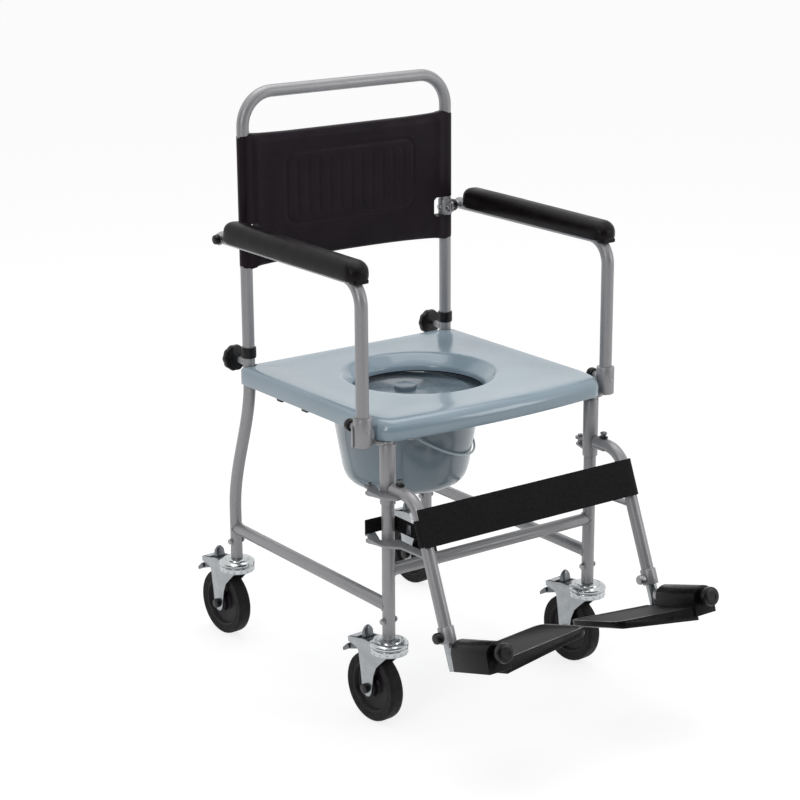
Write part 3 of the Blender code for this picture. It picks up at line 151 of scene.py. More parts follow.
curtain_cloth = bpy.data.materials.new("dark curtain")
curtain_cloth.use_nodes = True
curtain_cloth.node_tree.nodes["Principled BSDF"].inputs["Base Color"].default_value = (0.05, 0.05, 0.055, 1)
curtain_cloth.node_tree.nodes["Principled BSDF"].inputs["Roughness"].default_value = 0.9
curtain_far, curtain_low, curtain_high = 5.2, 0.02, 4.2
curtain_shape = bmesh.new()
curtain_hem = []
for turn in range(-78, 79, 6):
    a = camera_yaw - pi / 2 + radians(turn)
    curtain_hem.append(curtain_shape.verts.new((curtain_far * cos(a), curtain_far * sin(a), curtain_low)))
hem_edges = [curtain_shape.edges.new(pair) for pair in zip(curtain_hem, curtain_hem[1:])]
drawn = bmesh.ops.extrude_edge_only(curtain_shape, edges=hem_edges)
curtain_top = [v for v in drawn["geom"] if isinstance(v, bmesh.types.BMVert)]
bmesh.ops.translate(curtain_shape, vec=(0, 0, curtain_high - curtain_low), verts=curtain_top)
curtain = set_up("curtain", curtain_shape, curtain_cloth)
curtain.visible_camera = False

# Base frame: 22 mm round steel tube, bent, fish-mouthed and welded, then powder-coated silver.
# Each front leg wears a longer sleeve under the seat with two hinge lugs behind it.
TUBE_R = 0.0111
LEG_X = 0.222
FRONT_LEG_Y, REAR_LEG_Y, BACK_Y = -0.131, 0.363, 0.300
SIDES = (("left", -1), ("right", 1))
LYING = Matrix.Identity(4)
FRONT_VIEW = Matrix(((1, 0, 0, 0), (0, 0, -1, 0), (0, 1, 0, 0), (0, 0, 0, 1)))


def surface(name, colour, roughness, metallic=0.0, **sockets):
    """A shader with what is the same all over it set on its own sockets."""
    material = bpy.data.materials.new(name)
    material.use_nodes = True
    shader = material.node_tree.nodes["Principled BSDF"]
    shader.inputs["Base Color"].default_value = (*colour, 1)
    shader.inputs["Roughness"].default_value = roughness
    shader.inputs["Metallic"].default_value = metallic
    for socket, value in sockets.items():
        shader.inputs[socket.replace("_", " ")].default_value = value
    return material


def on_piece(material, stretch=(1, 1, 1), turn=(0, 0, 0)):
    """Coordinates fixed to the piece, in metres."""
    place = node(material, "ShaderNodeTexCoord")
    mapping = node(material, "ShaderNodeMapping", Scale=stretch, Rotation=turn)
    wire(material, place.outputs["Object"], mapping.inputs["Vector"])
    return mapping.outputs["Vector"]


def speckle(material, where, scale, detail=3.0):
    spots = node(material, "ShaderNodeTexNoise", Scale=scale, Detail=detail, Roughness=0.55)
    wire(material, where, spots.inputs["Vector"])
    return spots.outputs["Fac"]


def cells(material, where, scale, feature="F1"):
    made = node(material, "ShaderNodeTexVoronoi", Scale=scale)
    made.feature = feature
    wire(material, where, made.inputs["Vector"])
    return made.outputs["Distance"]


def tinted(material, factor, dark, light, start=0.3, end=0.7):
    """The base colour runs from dark to light with the factor."""
    ramp = node(material, "ShaderNodeValToRGB")
    ramp.color_ramp.elements[0].position, ramp.color_ramp.elements[0].color = start, (*dark, 1)
    ramp.color_ramp.elements[1].position, ramp.color_ramp.elements[1].color = end, (*light, 1)
    wire(material, factor, ramp.inputs["Fac"])
    wire(material, ramp.outputs["Color"], material.node_tree.nodes["Principled BSDF"].inputs["Base Color"])


def roughened(material, factor, low, high, start=0.3, end=0.7):
    spread = node(
        material, "ShaderNodeMapRange", From_Min=start, From_Max=end, To_Min=low, To_Max=high
    )
    wire(material, factor, spread.inputs["Value"])
    wire(material, spread.outputs["Result"], material.node_tree.nodes["Principled BSDF"].inputs["Roughness"])


def embossed(material, *layers):
    """Relief in layers of (height factor, depth in metres), the broadest first."""
    below = None
    for factor, depth in layers:
        bump = node(material, "ShaderNodeBump", Strength=1.0, Distance=depth)
        wire(material, factor, bump.inputs["Height"])
        if below:
            wire(material, below, bump.inputs["Normal"])
        below = bump.outputs["Normal"]
    wire(material, below, material.node_tree.nodes["Principled BSDF"].inputs["Normal"])


silver_paint = surface("silver powder coat", (0.33, 0.33, 0.35), 0.38, 0.35)
paint_place = on_piece(silver_paint)
flakes = cells(silver_paint, paint_place, 1500)
tinted(silver_paint, flakes, (0.280, 0.279, 0.291), (0.385, 0.384, 0.397), 0.15, 0.75)
roughened(silver_paint, speckle(silver_paint, paint_place, 60), 0.34, 0.42)
embossed(silver_paint, (speckle(silver_paint, paint_place, 520), 0.00003))


def bright_zinc(name, colour, roughness):
    material = surface(name, colour, roughness, 1.0)
    place = on_piece(material)
    tone = [tuple(min(1, c * share) for c in colour) for share in (0.90, 1.06)]
    tinted(material, speckle(material, place, 60, 5.0), *tone, 0.35, 0.66)
    roughened(material, speckle(material, place, 90), roughness * 0.85, roughness * 1.2)
    embossed(material, (speckle(material, place, 300), 0.00001))
    return material


zinc = bright_zinc("zinc plating", (0.36, 0.38, 0.395), 0.30)
polished_zinc = bright_zinc("polished zinc plating", (0.54, 0.56, 0.57), 0.20)
dull_steel = bright_zinc("dull fastener steel", (0.34, 0.34, 0.35), 0.38)


def as_modified(made):
    """A new mesh of the object as its modifiers or its bevel leave it."""
    graph = bpy.context.evaluated_depsgraph_get()
    return bpy.data.meshes.new_from_object(made.evaluated_get(graph))


def tidy(shape, weld=0.00001):
    bmesh.ops.remove_doubles(shape, verts=shape.verts, dist=weld)
    bmesh.ops.recalc_face_normals(shape, faces=shape.faces)
    return shape


def placed(shape, place):
    """A shape moved to its place; a mirrored one gets its faces turned out again."""
    bmesh.ops.transform(shape, matrix=place, verts=shape.verts)
    if place.determinant() < 0:
        bmesh.ops.reverse_faces(shape, faces=shape.faces)
    return shape


def rounded(shape, edges, width, segments):
    bmesh.ops.bevel(
        shape, geom=edges, offset=width, offset_type="OFFSET", segments=segments, profile=0.5,
        affect="EDGES", clamp_overlap=True, material=-1,
    )
    return shape


def softened(shape, width, segments=2, angle=28):
    """The shape with its sharper edges rounded."""
    if width:
        sharp = [e for e in shape.edges if e.is_manifold and e.calc_face_angle() > radians(angle)]
        rounded(shape, sharp, width, segments)
    return shape


def bar(start, end, radius, end_radius=None, sides=32, soft=0.0004):
    """A turned bar between two points."""
    start, end = Vector(start), Vector(end)
    along = end - start
    shape = bmesh.new()
    bmesh.ops.create_cone(
        shape, cap_ends=True, segments=sides, radius1=radius,
        radius2=radius if end_radius is None else end_radius, depth=along.length,
    )
    softened(shape, soft, 2, 50)
    turn = along.to_track_quat("Z", "Y").to_matrix().to_4x4()
    return placed(shape, Matrix.Translation((start + end) / 2) @ turn)


def block(low, high, soft=0.0005):
    low, high = Vector(map(min, low, high)), Vector(map(max, low, high))
    shape = bmesh.new()
    bmesh.ops.create_cube(shape, size=1)
    placed(shape, Matrix.Translation((low + high) / 2) @ Matrix.Diagonal((*(high - low), 1)))
    return softened(shape, soft)


def drawn_up(outline, low, height):
    """A closed outline at its low level, drawn up by a height."""
    shape = bmesh.new()
    shape.faces.new([shape.verts.new((*point, low)) for point in outline])
    grown = bmesh.ops.extrude_face_region(shape, geom=shape.faces[:])
    top = [v for v in grown["geom"] if isinstance(v, bmesh.types.BMVert)]
    bmesh.ops.translate(shape, vec=(0, 0, height), verts=top)
    bmesh.ops.recalc_face_normals(shape, faces=shape.faces)
    return shape


def cut_plate(outline, thick, view=LYING, centre=(0, 0, 0), soft=0.0004):
    """Sheet metal or moulding cut to an outline, half its thickness on each side of its plane."""
    shape = softened(drawn_up(outline, -thick / 2, thick), soft)
    return placed(shape, Matrix.Translation(centre) @ view)


def lying_plate(outline, low, high, soft=0.0004):
    return cut_plate(outline, high - low, LYING, (0, 0, (low + high) / 2), soft)


def spun(profile, place, steps=64, closed=False):
    """A run of (radius, height) points spun about its upright axis, then placed."""
    shape = bmesh.new()
    verts = [shape.verts.new((r, 0, z)) for r, z in profile]
    edges = [shape.edges.new(pair) for pair in zip(verts, verts[1:])]
    if closed:
        edges.append(shape.edges.new((verts[-1], verts[0])))
    bmesh.ops.spin(
        shape, geom=verts + edges, cent=(0, 0, 0), axis=(0, 0, 1), angle=2 * pi, steps=steps,
        use_merge=True,
    )
    return placed(tidy(shape), place)


def tube(points, radius, sides=28, closed=False):
    """A round tube along a run of points."""
    curve = bpy.data.curves.new("tube", "CURVE")
    curve.dimensions = "3D"
    curve.bevel_depth = radius
    curve.bevel_resolution = sides // 2 - 2
    curve.use_fill_caps = True
    spline = curve.splines.new("POLY")
    spline.points.add(len(points) - 1)
    for knot, point in zip(spline.points, points):
        knot.co = (*point, 1)
    spline.use_cyclic_u = closed
    holder = bpy.data.objects.new("tube", curve)
    bpy.context.scene.collection.objects.link(holder)
    mesh = as_modified(holder)
    shape = bmesh.new()
    shape.from_mesh(mesh)
    bpy.data.objects.remove(holder)
    bpy.data.curves.remove(curve)
    bpy.data.meshes.remove(mesh)
    return tidy(shape)


def arc(centre, radius, start, end, steps):
    """Points of an arc between two angles in degrees."""
    angles = [radians(start + (end - start) * k / steps) for k in range(steps + 1)]
    return [(centre[0] + radius * cos(a), centre[1] + radius * sin(a)) for a in angles]


def link_outline(first, first_r, second, second_r, steps=16):
    """Two round ends joined by their outer tangents."""
    away = Vector(second) - Vector(first)
    heading = degrees(atan2(away.y, away.x))
    side = 90 - degrees(asin((first_r - second_r) / away.length))
    near = arc(first, first_r, heading + side, heading + 360 - side, steps)
    return near + arc(second, second_r, heading - side, heading + side, steps)


def bent(corners, radius, step=5):
    """Straight runs through the corners, each inner corner bent to the radius."""
    points = [Vector(corners[0])]
    for before, corner, after in zip(corners, corners[1:], corners[2:]):
        corner = Vector(corner)
        back = (Vector(before) - corner).normalized()
        ahead = (Vector(after) - corner).normalized()
        bend = pi - back.angle(ahead)
        centre = corner + (back + ahead).normalized() * radius / cos(bend / 2)
        spoke = corner + back * radius * tan(bend / 2) - centre
        axis = back.cross(ahead)
        steps = max(2, ceil(degrees(bend) / step))
        points += [centre + Quaternion(axis, -bend * k / steps) @ spoke for k in range(steps + 1)]
    return points + [Vector(corners[-1])]


def ease(t):
    t = min(max(t, 0), 1)
    return t * t * (3 - 2 * t)


def piece(name, body, slot, stands_for, *shapes, angle=32):
    """One piece from (material, shape) pairs, riding on its body in place of CAD nodes."""
    whole = bmesh.new()
    materials = []
    for material, shape in shapes:
        if material not in materials:
            materials.append(material)
        for face in shape.faces:
            face.material_index = materials.index(material)
        part = to_mesh(shape)
        whole.from_mesh(part)
        bpy.data.meshes.remove(part)
    mesh = to_mesh(whole, name)
    for material in materials:
        mesh.materials.append(material)
    mesh.shade_smooth()
    mesh.set_sharp_from_angle(angle=radians(angle))
    made = bpy.data.objects.new(name, mesh)
    bpy.context.scene.collection.objects.link(made)
    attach(made, body)
    if stands_for:
        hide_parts(*stands_for)
    return made


def in_finish(material, *shapes):
    return [(material, shape) for shape in shapes]


def weld_bead(centre, along, upright, radius=TUBE_R):
    """The uneven bead where one tube's end meets the side of another of the same size."""
    centre, along, upright = Vector(centre), Vector(along), Vector(upright)
    across = upright.cross(along)
    points = []
    for k in range(56):
        a = 2 * pi * k / 56
        ripple = 1 + 0.02 * sin(9 * a)
        reach = sqrt(max(0, (radius * 1.02) ** 2 - (radius * sin(a)) ** 2))
        spoke = across * sin(a) + upright * cos(a)
        points.append(centre + along * reach * ripple + spoke * radius * ripple)
    return tube(points, 0.0016, 10, closed=True)


def hexagon(start, end, radius):
    return bar(start, end, radius, sides=6, soft=0.0003)


def cross_bolt(x, y, z):
    """A bolt through a leg: a domed head on one side, a washer and a nut on the other."""
    return (
        bar((x - 0.0150, y, z), (x + 0.0150, y, z), 0.0025, sides=16),
        bar((x + 0.0118, y, z), (x + 0.0160, y, z), 0.0060, 0.0042, soft=0.0010),
        hexagon((x - 0.0162, y, z), (x - 0.0126, y, z), 0.0052),
        bar((x - 0.0126, y, z), (x - 0.0114, y, z), 0.0060, sides=24, soft=0.0002),
    )


def opened(shape, *cutters):
    """The shape with the cutters' room taken out."""
    holder = bpy.data.objects.new("opened", to_mesh(shape))
    bpy.context.scene.collection.objects.link(holder)
    tools = []
    for cutter in cutters:
        tool = bpy.data.objects.new("cutter", to_mesh(cutter))
        bpy.context.scene.collection.objects.link(tool)
        tools.append(tool)
        step = holder.modifiers.new("cut", "BOOLEAN")
        step.operation, step.solver, step.object = "DIFFERENCE", "EXACT", tool
    bpy.context.view_layer.update()
    mesh = as_modified(holder)
    result = bmesh.new()
    result.from_mesh(mesh)
    for used in [holder, *tools]:
        bpy.data.objects.remove(used)
    bpy.data.meshes.remove(mesh)
    return result


LEG_FOOT_Z, BOLT_Z, CLAMP_Z = 0.162, 0.195, 0.5545
PIN_X, PIN_Y = 0.232, -0.093
UPPER_PLATE_Z, LOWER_PLATE_Z = 0.427, 0.342
for side, s in SIDES:
    x, seat_rest = s * LEG_X, s * LEG_X * 0.968
    shapes = [
        (silver_paint, bar((x, FRONT_LEG_Y, LEG_FOOT_Z), (x, FRONT_LEG_Y, 0.5165), TUBE_R)),
        (silver_paint, bar((x, FRONT_LEG_Y, 0.405), (x, FRONT_LEG_Y, 0.5108), 0.0135, soft=0.0012)),
        (silver_paint, block((seat_rest - 0.009, -0.131, 0.510), (seat_rest + 0.009, -0.111, 0.5217))),
    ]
    for plate_z in (UPPER_PLATE_Z, LOWER_PLATE_Z):
        px, lug_z = s * PIN_X, plate_z - 0.014
        lug = link_outline((x, FRONT_LEG_Y), 0.009, (px, PIN_Y), 0.008)
        shapes += [
            (silver_paint, lying_plate(lug, lug_z, lug_z + 0.004)),
            (silver_paint, bar((px, PIN_Y, lug_z + 0.002), (px, PIN_Y, plate_z - 0.0023), 0.0050)),
            (dull_steel, bar((px, PIN_Y, lug_z - 0.003), (px, PIN_Y, plate_z + 0.006), 0.003)),
            (dull_steel, hexagon((px, PIN_Y, plate_z + 0.0026), (px, PIN_Y, plate_z + 0.0060), 0.0048)),
            (dull_steel, hexagon((px, PIN_Y, lug_z - 0.0025), (px, PIN_Y, lug_z), 0.0046)),
        ]
    shapes += in_finish(dull_steel, *cross_bolt(x, FRONT_LEG_Y, BOLT_Z))
    piece("front_leg_tube_" + side, "frame", "tube_paint", ["front_leg_" + side], *shapes)

    low, high = 0.26, 0.525
    route = [(x, REAR_LEG_Y, LEG_FOOT_Z)]
    for k in range(29):
        share = k / 28
        route.append((x, REAR_LEG_Y + (BACK_Y - REAR_LEG_Y) * ease(share), low + (high - low) * share))
    route.append((x, BACK_Y, 0.565))
    shapes = [
        (silver_paint, tube(route, TUBE_R)),
        (silver_paint, bar((x, BACK_Y + 0.009, CLAMP_Z), (x, BACK_Y + 0.029, CLAMP_Z), 0.0068, soft=0.0006)),
        (dull_steel, bar((x + s * 0.0098, 0.3627, 0.236), (x + s * 0.0123, 0.3627, 0.236), 0.0034, 0.0022)),
    ]
    shapes += in_finish(dull_steel, *cross_bolt(x, REAR_LEG_Y, BOLT_Z))
    piece("rear_leg_tube_" + side, "frame", "tube_paint", ["rear_leg_" + side], *shapes)

    rail_z = 0.221
    rail = bar((x, FRONT_LEG_Y + 0.005, rail_z), (x, REAR_LEG_Y - 0.005, rail_z), TUBE_R - 0.0001)
    front_bead = weld_bead((x, FRONT_LEG_Y, rail_z), (0, 1, 0), (0, 0, 1))
    rear_bead = weld_bead((x, REAR_LEG_Y, rail_z), (0, -1, 0), (0, 0, 1))
    piece(
        "side_rail_tube_" + side, "frame", "tube_paint", ["side_rail_" + side],
        *in_finish(silver_paint, rail, front_bead, rear_bead),
    )
    angle_iron = [(0.1555, 0.4965), (0.142, 0.4965), (0.142, 0.4985)]
    angle_iron += [(0.1535, 0.4985), (0.1535, 0.5219), (0.1555, 0.5219)]
    runner = cut_plate([(s * a, b) for a, b in angle_iron], 0.405, FRONT_VIEW, (0, 0.0715, 0), 0.0003)
    runner_front = block((s * 0.130, -0.14, 0.48), (s * 0.165, -0.105, 0.5075), 0)
    piece(
        "pan_runner_" + side, "frame", "tube_paint", ["pan_rail_" + side],
        (silver_paint, opened(runner, runner_front)),
    )

cross_z, cross_y, cross_end = 0.285, -0.130, LEG_X - 0.005
piece(
    "front_cross_rail", "frame", "tube_paint", ["front_cross_tube"],
    (silver_paint, bar((-cross_end, cross_y, cross_z), (cross_end, cross_y, cross_z), TUBE_R - 0.0003)),
    *[(silver_paint, weld_bead((s * LEG_X, cross_y, cross_z), (-s, 0, 0), (0, 0, 1))) for s in (-1, 1)],
)
frame_z = 0.5335
loop = [(-LEG_X, BACK_Y - 0.008), (-LEG_X, -0.121), (LEG_X, -0.121), (LEG_X, BACK_Y - 0.008)]
piece(
    "seat_frame_loop", "frame", "tube_paint", ["seat_frame"],
    (silver_paint, tube(bent([(*point, frame_z) for point in loop], 0.036), TUBE_R)),
    (silver_paint, bar((-LEG_X + 0.004, 0.262, frame_z), (LEG_X - 0.004, 0.262, frame_z), TUBE_R - 0.0006)),
    *[(silver_paint, weld_bead((s * LEG_X, BACK_Y, frame_z), (0, -1, 0), (0, 0, 1))) for s in (-1, 1)],
)

# Armrest sockets: a half ring of bent strip behind the armrest's foot, on a bracket that is
# welded to the leg. A spring plunger with a black knob behind each one locks the foot.
ARM_X, POST_Y = 0.264, -0.120


def moulded_black(name, colour, roughness, gloss, grain, depth):
    """Black plastic with a fine spark-eroded grain."""
    material = surface(name, colour, roughness, Specular_IOR_Level=gloss)
    place = on_piece(material)
    tone = [tuple(c * share for c in colour) for share in (0.75, 1.4)]
    tinted(material, speckle(material, place, 140, 4.0), *tone)
    roughened(material, speckle(material, place, 45), roughness - 0.06, roughness + 0.08)
    embossed(material, (speckle(material, place, 30), 0.00003), (cells(material, place, grain), depth))
    return material


black_knob = moulded_black("black knob plastic", (0.007, 0.007, 0.008), 0.30, 0.30, 1600, 0.00003)
black_guide = moulded_black("black guide plastic", (0.006, 0.006, 0.007), 0.38, 0.26, 1200, 0.00004)
cradle_r, plunger_z = (0.0166, 0.0190), 0.539
for side, s in SIDES:
    x = s * ARM_X
    cradle = arc((x, POST_Y), cradle_r[0], 172, 8, 24) + arc((x, POST_Y), cradle_r[1], 8, 172, 24)
    arm = link_outline((s * (LEG_X + 0.012), FRONT_LEG_Y + 0.002), 0.0105, (x, POST_Y + 0.006), 0.0120)
    foot_room = [(x - 0.0178, POST_Y - 0.03)] + arc((x, POST_Y), 0.0178, 180, 0, 24)
    foot_room += [(x + 0.0178, POST_Y - 0.03)]
    bracket = opened(
        lying_plate(arm, 0.5118, 0.5163, 0.0006),
        lying_plate(foot_room, 0.50, 0.53, 0),
        bar((s * LEG_X, FRONT_LEG_Y, 0.50), (s * LEG_X, FRONT_LEG_Y, 0.53), TUBE_R, soft=0),
    )
    rear = POST_Y + cradle_r[0]
    piece(
        "arm_socket_cup_" + side, "frame", "tube_paint", ["arm_socket_" + side],
        (silver_paint, lying_plate(cradle, 0.5100, 0.546, 0.0006)),
        (silver_paint, bracket),
        (silver_paint, bar((x, rear + 0.001, plunger_z), (x, rear + 0.0125, plunger_z), 0.0065, soft=0.0006)),
    )
    grip = [(0, 0), (0.0095, 0), (0.0105, 0.0012), (0.011, 0.004), (0.011, 0.0085)]
    grip += [(0.0100, 0.0112), (0.007, 0.012), (0, 0.012)]
    lay_back = Matrix.Translation((x, -0.0905, plunger_z)) @ Matrix.Rotation(-pi / 2, 4, "X")
    piece(
        "arm_plunger_knob_" + side, "plunger_" + side, "black_plastic", ["arm_plunger_" + side],
        (black_knob, spun(grip, lay_back, 40)),
        (zinc, bar((x, POST_Y + 0.0168, plunger_z), (x, -0.088, plunger_z), 0.0026, sides=20)),
    )

# Castors: zinc-plated pressed forks under a ball race, a total-lock pedal behind, and 125 mm
# solid wheels with a black rubber tread on a dished black centre.
WHEEL_R, TRAIL = 0.0625, 0.039
castor_turn = Matrix.Rotation(radians(4), 4, "Z")
rubber = surface("tyre rubber", (0.010, 0.010, 0.011), 0.62, Specular_IOR_Level=0.16)
rubber_place = on_piece(rubber)
tinted(rubber, speckle(rubber, rubber_place, 60, 5.0), (0.009, 0.009, 0.009), (0.020, 0.020, 0.021))
roughened(rubber, speckle(rubber, rubber_place, 110), 0.52, 0.72)
embossed(rubber, (speckle(rubber, rubber_place, 700), 0.00006))
wheel_black = moulded_black("wheel centre plastic", (0.011, 0.009, 0.011), 0.38, 0.16, 1300, 0.00003)
dark_zinc = bright_zinc("dark pressed zinc", (0.17, 0.18, 0.19), 0.34)


def copy_of(cad_name, soft, segments=2, angle=30):
    """A CAD node's shape, welded, with its flat faces whole and its edges broken."""
    shape = bmesh.new()
    shape.from_mesh(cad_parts[cad_name].data)
    bmesh.ops.remove_doubles(shape, verts=shape.verts, dist=0.00002)
    bmesh.ops.dissolve_limit(shape, angle_limit=radians(1), verts=shape.verts, edges=shape.edges)
    return softened(shape, soft, segments, angle)


def rocking_pedal(cad_name, place):
    """The brake, its tongue tapered to a round tip that leans to the stem, its tread thicker on top."""
    tongue_foot, tongue_long, tongue_half = 0.151, 0.016, 0.011
    tread_start, tread_y, tread_z, tread_fall = 0.092, 0.0940, 0.1205, 0.678
    shape = copy_of(cad_name, 0.0006)
    for across in (-0.0085, -0.0055, -0.002, 0.002, 0.0055, 0.0085):
        bmesh.ops.bisect_plane(
            shape, geom=shape.verts[:] + shape.edges[:] + shape.faces[:], dist=0.000001,
            plane_co=place @ Vector((across, 0, 0)), plane_no=place.to_3x3() @ Vector((1, 0, 0)),
        )
    for vertex in shape.verts:
        spot = place.inverted() @ vertex.co
        tip = ease((spot.z - tongue_foot) / tongue_long)
        spot.z -= 0.0070 * tip * (spot.x / tongue_half) ** 2
        spot.x *= 1 - 0.20 * tip
        spot.y -= 0.0040 * tip
        middle = tread_z - tread_fall * (spot.y - tread_y)
        if spot.y > tread_start and spot.z > middle:
            spot.z = middle + (spot.z - middle) * 1.9
        vertex.co = place @ spot
    return shape


def tyre_shape(place):
    tread = [(0.0470, -0.0105), (0.0575, -0.0133), (0.0603, -0.0128), (0.0618, -0.0112), (0.0624, -0.0085)]
    tread += [(WHEEL_R, -0.0045), (WHEEL_R, 0.0045), (0.0624, 0.0085), (0.0618, 0.0112), (0.0603, 0.0128)]
    tread += [(0.0575, 0.0133), (0.0470, 0.0105), (0.0455, 0.0), (0.0462, -0.008)]
    return spun(tread, place, 72, closed=True)


def wheel_centre(place):
    web = [(0.0485, -0.0100), (0.0470, -0.0112), (0.0440, -0.0112), (0.0425, -0.0100), (0.0405, -0.0060)]
    web += [(0.0200, -0.0050), (0.0175, -0.0070), (0.0165, -0.0140), (0.0150, -0.0148), (0.0046, -0.0148)]
    web += [(r, -z) for r, z in reversed(web)]
    return spun(web, place, 72, closed=True)


def race_cup(place):
    dome = [
        (0, 0.1505), (0.0332, 0.1505), (0.0340, 0.1512), (0.0340, 0.1528), (0.0332, 0.1552),
        (0.0305, 0.1574), (0.0270, 0.1588), (0.0250, 0.1590), (0.0240, 0.1581), (0.0228, 0.1580),
        (0.0220, 0.1592), (0.0214, 0.1604), (0.0198, 0.1612), (0.0150, 0.1615), (0.0125, 0.1617),
        (0.0085, 0.1617), (0.0085, 0.1860), (0, 0.1870),
    ]
    return spun(dome, place, 56)


def cup_rim(place):
    rim = [
        (0.0302, 0.1382), (0.0325, 0.1388), (0.0330, 0.1400), (0.0325, 0.1424), (0.0330, 0.1436),
        (0.0330, 0.1470), (0.0320, 0.1490), (0.0290, 0.1498), (0.0290, 0.1382),
    ]
    return spun(rim, place, 56, closed=True)


def pressed_fork(cad_name, place):
    """The fork, with its legs drawn in towards the axle."""
    shape = copy_of(cad_name, 0.0008)
    middle = TRAIL + 0.003
    for vertex in shape.verts:
        spot = place.inverted() @ vertex.co
        spot.y = middle + (spot.y - middle) * (1 - 0.2 * ease((0.125 - spot.z) / 0.03))
        vertex.co = place @ spot
    return shape


def axle_caps(place):
    ends = [place @ Vector((across, TRAIL, WHEEL_R)) for across in (-0.0268, -0.0180, 0.0180, 0.0268)]
    return bar(ends[0], ends[1], 0.0088, soft=0.0016), bar(ends[3], ends[2], 0.0088, soft=0.0016)


# Thin black lines along both sides of each castor's housing are painted shade: they stand in for the dark gap
# between its top plate and its sides.
def housing_shade_lines(place):
    shade_lines = []
    for across in (-0.0148, 0.0148):
        route = [(across, 0.036, 0.1494), (across, 0.066, 0.1466), (across, 0.088, 0.1426)]
        shade_lines.append(tube([place @ Vector(spot) for spot in route], 0.0011, 8))
    return shade_lines


for end, leg_y in (("front", FRONT_LEG_Y), ("rear", REAR_LEG_Y)):
    for side, s in SIDES:
        name = f"castor_{end}_{side}"
        place = Matrix.Translation((s * LEG_X, leg_y, 0)) @ castor_turn
        hub = place @ Matrix.Translation((0, TRAIL, WHEEL_R)) @ Matrix.Rotation(pi / 2, 4, "Y")
        piece(name + "_race", "frame", "zinc", [name + "_stem"], (polished_zinc, race_cup(place)))
        piece(
            name + "_fork_press", name, "zinc", [name + "_fork"],
            (zinc, pressed_fork(name + "_fork", place)), (polished_zinc, cup_rim(place)),
            *in_finish(black_knob, *axle_caps(place)), *in_finish(black_guide, *housing_shade_lines(place)),
        )
        piece(
            name + "_tyre_and_centre", name + "_roller", "tyre", [name + "_wheel"],
            (rubber, tyre_shape(hub)), (wheel_black, wheel_centre(hub)),
        )
        piece(
            name + "_pedal_press", name + "_pedal", "zinc", [name + "_brake"],
            (dark_zinc, rocking_pedal(name + "_brake", place)),
        )

# Back frame: an inverted U of the same tube that plugs into the rear legs. Black guide collars
# stand on the legs' rims, and black fluted clamp screws hold it from behind.
top_z = 1.042
back_route = [
    (-LEG_X, BACK_Y, 0.569), (-LEG_X, BACK_Y, top_z), (LEG_X, BACK_Y, top_z), (LEG_X, BACK_Y, 0.569),
]
piece(
    "back_frame_hoop", "back", "tube_paint", ["back_frame_tube"],
    (silver_paint, tube(bent(back_route, 0.060), TUBE_R)),
    *[(silver_paint, bar((s * LEG_X, BACK_Y, 0.5095), (s * LEG_X, BACK_Y, 0.573), 0.0093)) for s in (-1, 1)],
)
fluted_grip = []
for k in range(160):
    a = 2 * pi * k / 160
    r = 0.0245 - 0.0006 * (1 - cos(10 * a))
    fluted_grip.append((r * cos(a), r * sin(a)))
for side, s in SIDES:
    x = s * LEG_X
    ring = [(0.0115, 0.5850), (0.0130, 0.5850), (0.0137, 0.5843), (0.0138, 0.5820), (0.0138, 0.5678)]
    ring += [(0.0133, 0.5656), (0.0098, 0.5656), (0.0098, 0.5683), (0.0115, 0.5683)]
    piece(
        "guide_collar_" + side, "frame", "black_plastic", ["back_collar_" + side],
        (black_guide, spun(ring, Matrix.Translation((x, BACK_Y, 0)), 40, closed=True)),
    )
    knob_place = Matrix.Translation((x, 0, CLAMP_Z)) @ Matrix.Rotation(-pi / 2, 4, "X")
    cap = [(0, 0.3560), (0.0110, 0.3560), (0.0122, 0.3552), (0.0128, 0.3535), (0.0128, 0.350), (0, 0.350)]
    piece(
        "clamp_screw_knob_" + side, "back_clamp_" + side, "black_plastic", ["back_clamp_knob_" + side],
        (black_knob, placed(lying_plate(fluted_grip, 0.3432, 0.3550, 0.0030), knob_place)),
        (black_knob, placed(spun(cap, Matrix.Identity(4), 40), knob_place)),
        (zinc, bar((x, BACK_Y + 0.0108, CLAMP_Z), (x, 0.346, CLAMP_Z), 0.0039, sides=20)),
    )

# Arm brackets: a steel strap painted silver and pinched round the back tube by a small bolt, with
# a pin on its outer side for the armrest. A dull washer and a black cap close the pin's end.
ARM_Z = 0.790


def pin_bar(start_x, end_x, *sizes, y=BACK_Y, **more):
    """A turned bar straight across the chair at the height of the armrest's pin."""
    return bar((start_x, y, ARM_Z), (end_x, y, ARM_Z), *sizes, **more)


